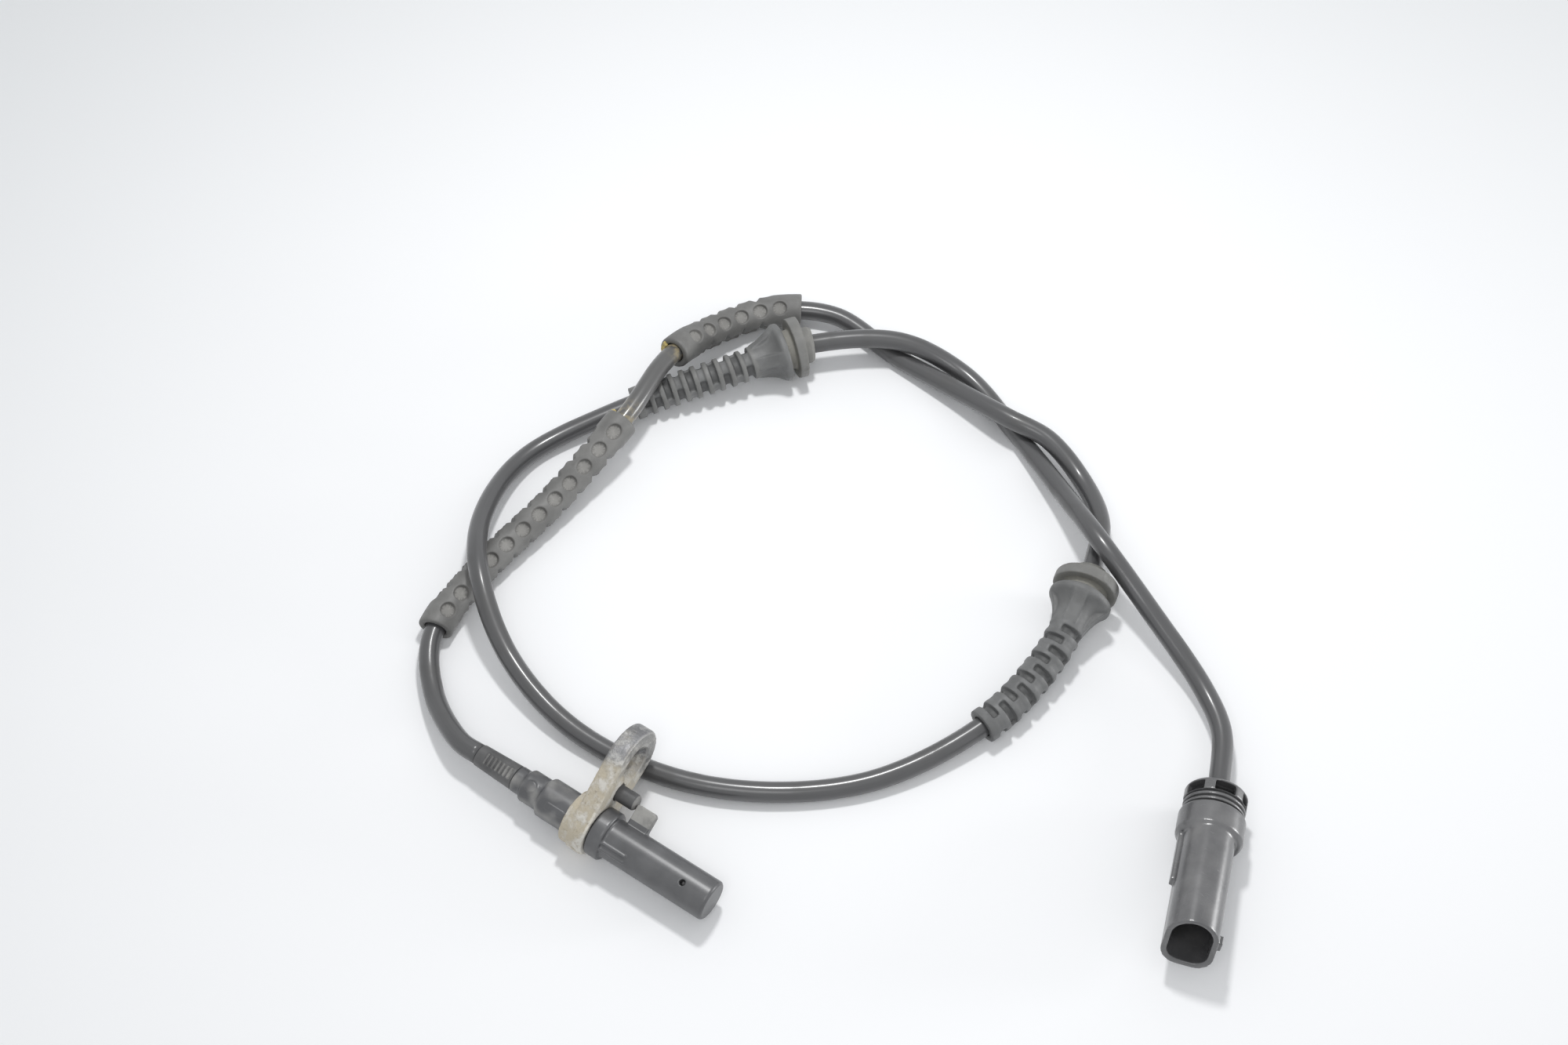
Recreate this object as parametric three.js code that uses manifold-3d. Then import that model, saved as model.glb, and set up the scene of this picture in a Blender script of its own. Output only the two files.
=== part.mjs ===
// Wheel speed sensor: a moulded probe on a metal flange, and the cable that it is moulded to.
// The cable carries two dimpled sleeves, two slotted bend grommets and a two-way plug.
// Millimetres, +Z up. The probe points along +X and rests on z = 0 with its cable.
import * as THREE from 'three';
import { mergeVertices } from 'three/addons/utils/BufferGeometryUtils.js';
import Module from 'manifold-3d';

const wasm = await Module();
wasm.setup();

// Clearances
const GAP = 0.3;
const CUT = 1;

// Probe, measured from the front face of the flange along the probe
const NOSE_RADIUS = 5.35;
const NOSE_LENGTH = 35;
const TIP_CHAMFER = 0.6;
const FRONT_COLLAR_RADIUS = 6.6;
const FRONT_COLLAR_LENGTH = 4.2;
const REAR_BODY_END = 16.5;
const REAR_COLLAR_RADIUS = 4.4;
const REAR_COLLAR_END = 22.5;
const NECK_RADIUS = 3.5;
const NECK_BORE_RADIUS = 2.75;
const REAR_LENGTH = 25.5;
const BORE_RADIUS = 3.2;
const CHAMBER_RADIUS = 4.1;
const CHAMBER_START = 10;
const TIP_WALL = 2;
const VENT_RADIUS = 0.8;
const VENT_AT = 27.3;
const VIEW_SIDE = THREE.MathUtils.degToRad(107);
const SPRUE_RADIUS = 1.6;
const SPRUE_HEIGHT = 0.35;
const SPRUE_AT = 19.6;

// Ribs that centre the probe, and the key that turns it
const CRUSH_RIB_LENGTH = 8;
const CRUSH_RIB_RADIUS = 0.45;
const CRUSH_RIB_AT = 3.4;
const CRUSH_RIB_ANGLES = [131, 150, 311, 330].map((degrees) => THREE.MathUtils.degToRad(degrees));
const KEY_START = 6.2;
const KEY_LENGTH = 5.8;
const KEY_REACH = 10.7;
const KEY_THICKNESS = 2.6;
const KEY_CORNER = 1;

// Flange
const FLANGE_THICKNESS = 5;
const LOBE_RADIUS = 7.6;
const EYE_RADIUS = 9.6;
const EYE_SPACING = 18.5;
const FLANGE_ROLL = THREE.MathUtils.degToRad(24);
const FLANGE_BEVEL = 0.5;
const BOLT_HOLE_RADIUS = 3.5;
const BOLT_CHAMFER = 1.9;
const BOSS_RADIUS = 7.1;
const BOSS_HEIGHT = 2.2;
const PEG_RADIUS = 2.2;
const PEG_SPACING = 10.6;
const PEG_REACH = KEY_START - GAP;
const PEG_HEAD_RADIUS = 3;
const PEG_HEAD_HEIGHT = 1.2;
const PEG_CHAMFER = 0.8;

// Pieces inside the probe
const CARRIER_WIDTH = 6.4;
const CARRIER_THICKNESS = 1.9;
const CARRIER_START = 12;
const CHIP_LENGTH = 5.4;
const CHIP_WIDTH = 4.4;
const CHIP_THICKNESS = 1.1;
const CAPACITOR_LENGTH = 3.2;
const CAPACITOR_WIDTH = 2.4;
const PIN_SPACING = 3;
const PIN_WIDTH = 0.9;
const PIN_THICKNESS = 0.5;
const PIN_LENGTH = 22;
const CRIMP_LENGTH = 5;
const CRIMP_SIZE = 1.8;
const CORE_RADIUS = 0.8;
const CORE_OFFSET = 1.6;

// Cable
const CABLE_RADIUS = 2.75;
const CABLE_SIDES = 10;
const CABLE_STEPS = 80;
const LEAD_IN = 6;
const RELIEF_LENGTH = 11.5;
const RELIEF_RADIUS = 3.4;
const RELIEF_END_RADIUS = 2.95;
const RELIEF_RIDGES = 7;
const RIDGE_START = 1.2;
const RIDGE_PITCH = 1.25;
const RIDGE_RADIUS = 0.4;
const RIDGE_WIDTH = 3;

// Dimpled sleeves, with their distance along the cable
const SLEEVE_RADIUS = 4.8;
const DIMPLE_RADIUS = 2.1;
const DIMPLE_DEPTH = 1.1;
const DIMPLE_PITCH = 6.4;
const NOTCH_WIDTH = 4.1;
const NOTCH_DEPTH = 1.4;
const DIMPLE_ROWS = 4;
const LONG_SLEEVE = { at: 44.6, dimples: 12, plainEnd: 3.6 };
const SHORT_SLEEVE = { at: 153.9, dimples: 6, plainEnd: 7.6 };

// Bend grommets, with their distance along the cable and the way that they face
const INNER_GROMMET = { at: 643, reversed: false };
const OUTER_GROMMET = { at: 338, reversed: true };
const TAIL_RADIUS = 4;
const RING_RADIUS = 4.7;
const RING_WIDTH = 1.4;
const RING_PITCH = 3.48;
const RINGS = 10;
const SHEATH_RADIUS = 3.65;
const END_COLLAR_WIDTH = 2.4;
const WINDOW_WIDTH = 5.6;
const BELL_LENGTH = 7.2;
const BELL_RADIUS = 8.6;
const BELL_RIM = 2.2;
const BELL_HOLLOW = 0.75;
const GUSSETS = 4;
const GUSSET_THICKNESS = 2.6;
const GUSSET_LIFT = 0.35;
const GROOVE_WIDTH = 2.3;
const GROOVE_RADIUS = 5.8;
const DISC_RADIUS = 8.9;
const DISC_WIDTH = 3;
const NUB_RADIUS = 1;
const HUB_RADIUS = 5.4;
const HUB_WIDTH = 2.4;
const LIP_RADIUS = 4.9;
const LIP_WIDTH = 0.8;

// Plug, measured from its rear face
const CAP_LENGTH = 7.2;
const CAP_RADIUS = 8;
const CAP_WALL = 1.5;
const CAP_CHAMFER = 0.8;
const CAP_WINDOWS = 6;
const CAP_WINDOW = { start: 1.3, length: 2.6, width: 5 };
const CAP_RIB_HEIGHT = 0.45;
const CAP_BAND = 2.2;
const CAP_RIB_START = 1.5;
const CAP_RIB_END = 0.7;
const COLLAR_RADIUS = 8.45;
const COLLAR_LENGTH = 7.6;
const BARREL_WIDTH = 12.8;
const BARREL_HEIGHT = 16;
const BARREL_END = 46;
const BARREL_SLANT = 3;
const SEAL_START = 9.2;
const SEAL_RADIUS = 4.9;
const SEAL_LENGTH = 8;
const SEAL_RIBS = 3;
const WEB_START = 22;
const SOCKET_START = 26;
const SOCKET_WIDTH = 9.8;
const SOCKET_HEIGHT = 13.4;
const SIDE_KEY = { start: 17, length: 12, width: 3.2, reach: 1.1 };
const LATCH_NUB = { start: 40, length: 2.4, width: 3.4, reach: 1.2 };
const TERMINAL_RADIUS = 0.8;
const TERMINAL_SPACING = 4.4;
const TERMINAL_REACH = 9;
const TERMINAL_CHAMFER = 0.4;
const TUBE_IN_CAP = 4.5;
const PLUG_REAR = new THREE.Vector3(120.6, 84.8, 8.15);
const PLUG_TURN = THREE.MathUtils.degToRad(-73.1);
const PLUG_RISE = THREE.MathUtils.degToRad(8);

// Facets round a turned piece
const SIDES = 24;
const SLEEVE_SIDES = 16;
const SMALL_SIDES = 12;
const GROMMET_SIDES = 12;
const FINE_SIDES = 6;

// The cable's route, from the probe to the plug, chosen along the cable as it lies
const HEAD_X = -(NOSE_LENGTH - REAR_LENGTH) / 2;
const HEAD_Y = -(EYE_SPACING * Math.cos(FLANGE_ROLL) + EYE_RADIUS - LOBE_RADIUS) / 2;
const CABLE_START = HEAD_X - REAR_LENGTH - RELIEF_LENGTH - 2 * GAP;
const plugTurn = new THREE.Euler(0, -PLUG_RISE, PLUG_TURN, 'ZYX');
const plugForward = new THREE.Vector3(1, 0, 0).applyEuler(plugTurn);
const ROUTE = [
  [CABLE_START, HEAD_Y, LOBE_RADIUS], [-49, -9.2, 7.35], [-65, -1, 4.2], [-76, 12, 4.9], [-78, 34, 5.1],
  [-74.4, 65, 6.9], [-71.4, 96, 13.8], [-73.8, 119, 13], [-71.6, 138, 7], [-61, 155.8, 5.2],
  [-45, 164.6, 4.6], [-23, 162.6, 3], [-2, 160.2, 5.6], [18, 157.2, 9.2], [31, 157.6, 8.2],
  [45, 152.4, 5.4], [56.5, 141.5, 7.4], [62, 126.5, 9.5], [64.8, 112, 9.5], [65.6, 95, 7.1],
  [61.4, 72, 4.9], [43, 40, 2.95], [9.5, 17, 3], [-26, 11, 3.35], [-54, 17.6, 7.4],
  [-75, 32.4, 13.7], [-87, 49.5, 9.4], [-91.4, 73, 4], [-79, 99.8, 4.9], [-58, 128, 8.6],
  [-43, 148.5, 9.85], [-22, 164.2, 8.8], [-2, 167.4, 3.8], [19, 158.8, 3.05], [41, 145.4, 7.6],
  [60.4, 131.2, 15.6], [81, 122.4, 10.6], [103.5, 111.6, 5.8], [113.4, 102.6, 6.2],
].map(([x, y, z]) => new THREE.Vector3(x, y, z));
ROUTE.push(...[-LEAD_IN, TUBE_IN_CAP].map((x) => PLUG_REAR.clone().addScaledVector(plugForward, x)));

const path = new THREE.CatmullRomCurve3(ROUTE, false, 'centripetal');
path.arcLengthDivisions = 2000;
const cableLength = path.getLength();
const stations = path.getSpacedPoints(CABLE_STEPS);
const headings = stations.map((_, i) => path.getTangentAt(i / CABLE_STEPS));
const stationStep = cableLength / CABLE_STEPS;

// Materials
const colours = {
  housing: [0x4a4b4e, 0.42, 0],
  metal: [0xa79c88, 0.55, 0.85],
  peg: [0x55565a, 0.5, 0],
  brass: [0xb39a5a, 0.35, 0.9],
  chip: [0x26272a, 0.5, 0],
  ceramic: [0xb08a5c, 0.6, 0],
  core: [0x8b5a2b, 0.5, 0],
  coreTwo: [0x2d4f8a, 0.5, 0],
  cable: [0x37383b, 0.28, 0],
  rubber: [0x64656a, 0.75, 0],
  grommet: [0x5b5c60, 0.62, 0],
  plug: [0x4e4f52, 0.38, 0],
  seal: [0x6a6a6c, 0.7, 0],
};

function material(name) {
  const [color, roughness, metalness] = colours[name];
  return new THREE.MeshStandardMaterial({ color, roughness, metalness });
}

// Closed solid from a geometry, with its faces turned outwards.
function solid(geometry) {
  let source = geometry.clone();
  source.deleteAttribute('normal');
  source.deleteAttribute('uv');
  source = mergeVertices(source, 1e-4);
  const at = source.attributes.position;
  const triangles = [];
  let volume = 0;
  const a = new THREE.Vector3();
  const b = new THREE.Vector3();
  const c = new THREE.Vector3();
  for (let i = 0; i < source.index.count; i += 3) {
    const corners = [0, 1, 2].map((k) => source.index.getX(i + k));
    if (new Set(corners).size < 3) continue;
    a.fromBufferAttribute(at, corners[0]);
    b.fromBufferAttribute(at, corners[1]);
    c.fromBufferAttribute(at, corners[2]);
    volume += a.dot(b.cross(c));
    triangles.push(corners);
  }
  const triVerts = triangles.flatMap(([p, q, r]) => (volume > 0 ? [p, q, r] : [p, r, q]));
  return new wasm.Manifold(new wasm.Mesh({
    numProp: 3,
    vertProperties: new Float32Array(at.array),
    triVerts: new Uint32Array(triVerts),
  }));
}

function add(first, ...others) {
  return others.reduce((sum, other) => sum.add(other), first);
}

function cut(first, ...others) {
  return others.reduce((rest, other) => rest.subtract(other), first);
}

function geometryOf(body) {
  const mesh = body.getMesh();
  const geometry = new THREE.BufferGeometry();
  geometry.setAttribute('position', new THREE.BufferAttribute(new Float32Array(mesh.vertProperties), 3));
  geometry.setIndex(new THREE.BufferAttribute(new Uint32Array(mesh.triVerts), 1));
  return geometry;
}

function piece(name, body, finish) {
  const geometry = geometryOf(body);
  geometry.computeVertexNormals();
  const mesh = new THREE.Mesh(geometry, material(finish));
  mesh.name = name;
  return mesh;
}

// Radius of a faceted hole that stays clear of a round piece.
function around(radius, sides = SIDES) {
  return (radius + GAP) / Math.cos(Math.PI / sides);
}

// Turned form along +X, from points of distance and radius.
function turned(points, sides = SIDES) {
  const profile = points.map(([x, radius]) => new THREE.Vector2(radius, x));
  return new THREE.LatheGeometry(profile, sides).rotateZ(-Math.PI / 2);
}

function turnedSolid(points, sides = SIDES) {
  return solid(turned(points, sides));
}

// Round bar along +X, for bores and pins.
function bar(start, end, radius, sides = SIDES, y = 0, z = 0) {
  const rod = turned([[start, 0], [start, radius], [end, radius], [end, 0]], sides);
  return solid(rod.translate(0, y, z));
}

function block(x, y, z, width, depth, height) {
  return solid(new THREE.BoxGeometry(width, depth, height).translate(x, y, z));
}

// Flange plane: u runs from the probe to the bolt eye, v across it, and w along the probe.
const flangeFrame = new THREE.Matrix4().makeBasis(
  new THREE.Vector3(0, Math.cos(FLANGE_ROLL), Math.sin(FLANGE_ROLL)),
  new THREE.Vector3(0, -Math.sin(FLANGE_ROLL), Math.cos(FLANGE_ROLL)),
  new THREE.Vector3(1, 0, 0),
);

function flangeOutline() {
  const tangent = Math.acos((LOBE_RADIUS - EYE_RADIUS) / EYE_SPACING);
  const shape = new THREE.Shape();
  shape.absarc(EYE_SPACING, 0, EYE_RADIUS, -tangent, tangent, false);
  shape.absarc(0, 0, LOBE_RADIUS, tangent, 2 * Math.PI - tangent, false);
  shape.closePath();
  return shape;
}

function mountingFlange() {
  const plate = new THREE.ExtrudeGeometry(flangeOutline(), {
    depth: FLANGE_THICKNESS - 2 * FLANGE_BEVEL,
    curveSegments: SIDES / 2,
    bevelThickness: FLANGE_BEVEL,
    bevelSize: FLANGE_BEVEL,
    bevelOffset: -FLANGE_BEVEL,
    bevelSegments: 1,
  });
  plate.translate(0, 0, FLANGE_BEVEL - FLANGE_THICKNESS).applyMatrix4(flangeFrame);
  const rear = -FLANGE_THICKNESS - BOSS_HEIGHT;
  const boss = turnedSolid([
    [rear, 0], [rear, BOSS_RADIUS - FLANGE_BEVEL], [rear + FLANGE_BEVEL, BOSS_RADIUS],
    [-FLANGE_THICKNESS / 2, BOSS_RADIUS], [-FLANGE_THICKNESS / 2, 0],
  ]);
  const wide = BOLT_HOLE_RADIUS + BOLT_CHAMFER;
  const boltHole = turned([
    [-FLANGE_THICKNESS - CUT, 0], [-FLANGE_THICKNESS - CUT, BOLT_HOLE_RADIUS],
    [-BOLT_CHAMFER, BOLT_HOLE_RADIUS], [0, wide], [CUT, wide], [CUT, 0],
  ]);
  const u = new THREE.Vector3().setFromMatrixColumn(flangeFrame, 0);
  boltHole.translate(u.x * EYE_SPACING, u.y * EYE_SPACING, u.z * EYE_SPACING);
  const pegHole = bar(rear - CUT, CUT, around(PEG_RADIUS), SIDES, u.y * PEG_SPACING, u.z * PEG_SPACING);
  const probeHole = bar(rear - CUT, CUT, around(NOSE_RADIUS));
  const body = cut(add(solid(plate), boss), probeHole, solid(boltHole), pegHole);
  return piece('mounting_flange', body, 'metal');
}

// Peg that keeps the moulding from turning on the flange.
function locatingPeg() {
  const rear = -FLANGE_THICKNESS - GAP;
  const form = turned([
    [rear - PEG_HEAD_HEIGHT, 0], [rear - PEG_HEAD_HEIGHT, PEG_HEAD_RADIUS - GAP], [rear, PEG_HEAD_RADIUS],
    [rear, PEG_RADIUS], [PEG_REACH - PEG_CHAMFER, PEG_RADIUS], [PEG_REACH, PEG_RADIUS - PEG_CHAMFER],
    [PEG_REACH, 0],
  ]);
  const u = new THREE.Vector3().setFromMatrixColumn(flangeFrame, 0).multiplyScalar(PEG_SPACING);
  const bossClearance = bar(rear - PEG_HEAD_HEIGHT - CUT, -FLANGE_THICKNESS, around(BOSS_RADIUS));
  const body = solid(form.translate(0, u.y, u.z)).subtract(bossClearance);
  return piece('locating_peg', body, 'peg');
}

function key() {
  const shape = new THREE.Shape();
  const end = KEY_START + KEY_LENGTH;
  shape.moveTo(KEY_START, NOSE_RADIUS - CUT);
  shape.lineTo(end, NOSE_RADIUS - CUT);
  shape.lineTo(end, KEY_REACH - KEY_CORNER);
  shape.absarc(end - KEY_CORNER, KEY_REACH - KEY_CORNER, KEY_CORNER, 0, Math.PI / 2, false);
  shape.lineTo(KEY_START, KEY_REACH);
  shape.closePath();
  const sweep = { depth: KEY_THICKNESS, bevelEnabled: false, curveSegments: 4 };
  const form = new THREE.ExtrudeGeometry(shape, sweep);
  form.translate(0, 0, -KEY_THICKNESS / 2);
  return solid(form.rotateX(FLANGE_ROLL));
}

function sensorHousing() {
  const rear = -REAR_LENGTH;
  const outer = turnedSolid([
    [rear, 0], [rear, NECK_RADIUS], [-REAR_COLLAR_END, NECK_RADIUS],
    [-REAR_COLLAR_END, REAR_COLLAR_RADIUS - TIP_CHAMFER],
    [-REAR_COLLAR_END + TIP_CHAMFER, REAR_COLLAR_RADIUS],
    [-REAR_BODY_END, REAR_COLLAR_RADIUS], [-REAR_BODY_END, NOSE_RADIUS - GAP],
    [-REAR_BODY_END + TIP_CHAMFER, NOSE_RADIUS], [GAP, NOSE_RADIUS], [GAP, FRONT_COLLAR_RADIUS],
    [FRONT_COLLAR_LENGTH - TIP_CHAMFER, FRONT_COLLAR_RADIUS], [FRONT_COLLAR_LENGTH, NOSE_RADIUS],
    [NOSE_LENGTH - TIP_CHAMFER, NOSE_RADIUS], [NOSE_LENGTH, NOSE_RADIUS - TIP_CHAMFER], [NOSE_LENGTH, 0],
  ]);
  const ribs = CRUSH_RIB_ANGLES.map((angle) => bar(
    CRUSH_RIB_AT, CRUSH_RIB_AT + CRUSH_RIB_LENGTH, CRUSH_RIB_RADIUS, FINE_SIDES,
    NOSE_RADIUS * Math.cos(angle), NOSE_RADIUS * Math.sin(angle),
  ));
  const sprue = new THREE.CylinderGeometry(SPRUE_RADIUS, SPRUE_RADIUS, CUT + SPRUE_HEIGHT, SMALL_SIDES);
  sprue.translate(0, REAR_COLLAR_RADIUS + (SPRUE_HEIGHT - CUT) / 2, 0);
  sprue.rotateX(VIEW_SIDE).translate(-SPRUE_AT, 0, 0);
  const vent = new THREE.CylinderGeometry(VENT_RADIUS, VENT_RADIUS, NOSE_RADIUS, SMALL_SIDES);
  vent.translate(0, NOSE_RADIUS, 0).rotateX(VIEW_SIDE).translate(VENT_AT, 0, 0);
  const hollow = turnedSolid([
    [rear - CUT, 0], [rear - CUT, NECK_BORE_RADIUS], [-REAR_BODY_END, NECK_BORE_RADIUS],
    [-REAR_BODY_END, BORE_RADIUS], [CHAMBER_START, BORE_RADIUS], [CHAMBER_START, CHAMBER_RADIUS],
    [NOSE_LENGTH - TIP_WALL, CHAMBER_RADIUS], [NOSE_LENGTH - TIP_WALL, 0],
  ]);
  const body = cut(add(outer, key(), solid(sprue), ...ribs), hollow, solid(vent));
  return piece('sensor_housing', body, 'housing');
}

// Chip, capacitor and leads on their carrier, and the cores that they are crimped to.
function electronics() {
  const pieces = [];
  const end = NOSE_LENGTH - TIP_WALL - GAP;
  const length = end - CARRIER_START;
  const carrier = block(
    CARRIER_START + length / 2, 0, -CARRIER_THICKNESS / 2, length, CARRIER_WIDTH, CARRIER_THICKNESS,
  );
  pieces.push(piece('chip_carrier', carrier, 'housing'));
  const chipX = end - CHIP_LENGTH / 2;
  const chipZ = GAP + CHIP_THICKNESS / 2;
  const chip = block(chipX, 0, chipZ, CHIP_LENGTH, CHIP_WIDTH, CHIP_THICKNESS);
  pieces.push(piece('sensor_chip', chip, 'chip'));
  const leadEnd = end - CHIP_LENGTH - GAP;
  const leadStart = leadEnd - PIN_LENGTH;
  const capacitorZ = 2 * GAP + PIN_THICKNESS + CHIP_THICKNESS / 2;
  const capacitor = block(
    leadEnd - CAPACITOR_LENGTH, 0, capacitorZ, CAPACITOR_WIDTH, PIN_SPACING + PIN_WIDTH, CHIP_THICKNESS,
  );
  pieces.push(piece('capacitor', capacitor, 'ceramic'));
  const sides = { left: 1, right: -1 };
  for (const [side, sign] of Object.entries(sides)) {
    const y = sign * PIN_SPACING / 2;
    const z = GAP + PIN_THICKNESS / 2;
    const lead = block((leadStart + leadEnd) / 2, y, z, PIN_LENGTH, PIN_WIDTH, PIN_THICKNESS);
    pieces.push(piece(`lead_${side}`, lead, 'brass'));
    const crimpX = leadStart - GAP - CRIMP_LENGTH / 2;
    const crimp = block(crimpX, y, z, CRIMP_LENGTH, CRIMP_SIZE, CRIMP_SIZE);
    pieces.push(piece(`crimp_${side}`, crimp, 'brass'));
    const coreEnd = leadStart - CRIMP_LENGTH - 2 * GAP;
    const core = bar(-REAR_LENGTH, coreEnd, CORE_RADIUS, SMALL_SIDES, y, z);
    pieces.push(piece(`core_end_${side}`, core, side === 'left' ? 'core' : 'coreTwo'));
  }
  return pieces;
}

function strainRelief() {
  const front = -REAR_LENGTH - GAP;
  const rear = front - RELIEF_LENGTH;
  const neck = turnedSolid([
    [rear, 0], [rear, RELIEF_END_RADIUS - GAP], [rear + GAP, RELIEF_END_RADIUS],
    [front - GAP, RELIEF_RADIUS], [front, RELIEF_RADIUS - GAP], [front, 0],
  ], SMALL_SIDES);
  const ridges = [];
  for (let i = 0; i < RELIEF_RIDGES; i += 1) {
    const ridge = new THREE.CylinderGeometry(RIDGE_RADIUS, RIDGE_RADIUS, RIDGE_WIDTH, FINE_SIDES);
    const x = front - RIDGE_START - i * RIDGE_PITCH;
    const share = (front - x) / RELIEF_LENGTH;
    const height = THREE.MathUtils.lerp(RELIEF_RADIUS, RELIEF_END_RADIUS, share) - RIDGE_RADIUS / 2;
    ridge.translate(x, 0, height).rotateX(VIEW_SIDE - Math.PI / 2);
    ridges.push(solid(ridge));
  }
  return piece('strain_relief', add(neck, ...ridges), 'cable');
}

// Point on the cable with its own directions: along it, to its left, and up.
function cableFrame(distance) {
  const share = THREE.MathUtils.clamp(distance / stationStep, 0, CABLE_STEPS);
  const i = Math.min(Math.floor(share), CABLE_STEPS - 1);
  const centre = stations[i].clone().lerp(stations[i + 1], share - i);
  const along = headings[i].clone().lerp(headings[i + 1], share - i).normalize();
  const left = new THREE.Vector3(0, 0, 1).cross(along).normalize();
  const up = along.clone().cross(left);
  return new THREE.Matrix4().makeBasis(along, left, up).setPosition(centre);
}

// Moves a form that was built straight along +X onto the cable.
function layOnCable(geometry, start, direction = 1) {
  const position = geometry.attributes.position;
  const point = new THREE.Vector3();
  for (let i = 0; i < position.count; i += 1) {
    point.fromBufferAttribute(position, i);
    const frame = cableFrame(start + direction * point.x);
    point.set(0, direction * point.y, point.z).applyMatrix4(frame);
    position.setXYZ(i, point.x, point.y, point.z);
  }
  return geometry;
}

function cableJacket() {
  const section = new THREE.Shape();
  section.absarc(0, 0, CABLE_RADIUS, 0, 2 * Math.PI, false);
  const tube = new THREE.ExtrudeGeometry(section, {
    steps: CABLE_STEPS, curveSegments: CABLE_SIDES / 2, extrudePath: path, bevelEnabled: false,
  });
  return piece('cable_jacket', solid(tube), 'cable');
}

// Distances of a stretch's two ends and of each turn that the cable makes between them.
function turns(start, end) {
  const inner = stations.map((_, i) => i * stationStep).filter((s) => s > start + GAP && s < end - GAP);
  return [start, ...inner, end];
}

// Rod along the cable from one distance to another.
function rodOnCable(start, end, radius, sides) {
  const edge = turns(start, end).map((s) => [s - start, radius]);
  return solid(layOnCable(turned([[0, 0], ...edge, [end - start, 0]], sides), start));
}

// Room for the cable through a piece that sits on it.
function cableRoom(start, end, sides) {
  return rodOnCable(start - CUT, end + CUT, around(CABLE_RADIUS, sides), sides);
}

// Notch between two pads of a row, across the top of a straight sleeve.
function notch() {
  const slope = (NOTCH_WIDTH / 2) / NOTCH_DEPTH;
  const floor = SLEEVE_RADIUS - NOTCH_DEPTH;
  const top = SLEEVE_RADIUS + GAP;
  const reach = slope * (top - floor);
  const corners = [[0, floor], [reach, top], [-reach, top]];
  const shape = new THREE.Shape(corners.map(([x, y]) => new THREE.Vector2(x, y)));
  const wedge = new THREE.ExtrudeGeometry(shape, { depth: 2 * SLEEVE_RADIUS, bevelEnabled: false });
  return wedge.translate(0, 0, -SLEEVE_RADIUS);
}

// Rubber sleeve with four rows of pads that each hold a round recess, a row half a pitch on from the next.
function sleeve(name, { at, dimples, plainEnd }) {
  const end = at + dimples * DIMPLE_PITCH + plainEnd;
  const recesses = [];
  for (let row = 0; row < DIMPLE_ROWS; row += 1) {
    const shift = row % 2 ? DIMPLE_PITCH / 2 : 0;
    const count = row % 2 ? dimples - 1 : dimples;
    for (let i = 0; i < count; i += 1) {
      const x = plainEnd / 2 + DIMPLE_PITCH * (i + 0.5) + shift;
      const turn = VIEW_SIDE + row * 2 * Math.PI / DIMPLE_ROWS;
      const dimple = new THREE.CylinderGeometry(DIMPLE_RADIUS, DIMPLE_RADIUS, SLEEVE_RADIUS, FINE_SIDES);
      dimple.translate(0, SLEEVE_RADIUS - DIMPLE_DEPTH + SLEEVE_RADIUS / 2, 0);
      recesses.push(solid(dimple.rotateX(turn).applyMatrix4(cableFrame(at + x))));
      if (i > 0) {
        const between = cableFrame(at + x - DIMPLE_PITCH / 2);
        recesses.push(solid(notch().rotateX(turn).applyMatrix4(between)));
      }
    }
  }
  const wall = rodOnCable(at, end, SLEEVE_RADIUS, SLEEVE_SIDES);
  const body = cut(wall, ...recesses, cableRoom(at, end, SLEEVE_SIDES));
  return piece(name, body, 'rubber');
}

// Concave edge from the tail up to the rim of the bell.
function bellCurve(start, lift) {
  const curve = new THREE.QuadraticBezierCurve(
    new THREE.Vector2(start, RING_RADIUS),
    new THREE.Vector2(start + BELL_LENGTH * (BELL_HOLLOW - lift), RING_RADIUS + lift * BELL_RADIUS / 3),
    new THREE.Vector2(start + BELL_LENGTH, BELL_RADIUS),
  );
  return curve.getPoints(4).map((point) => [point.x, point.y]);
}

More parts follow.
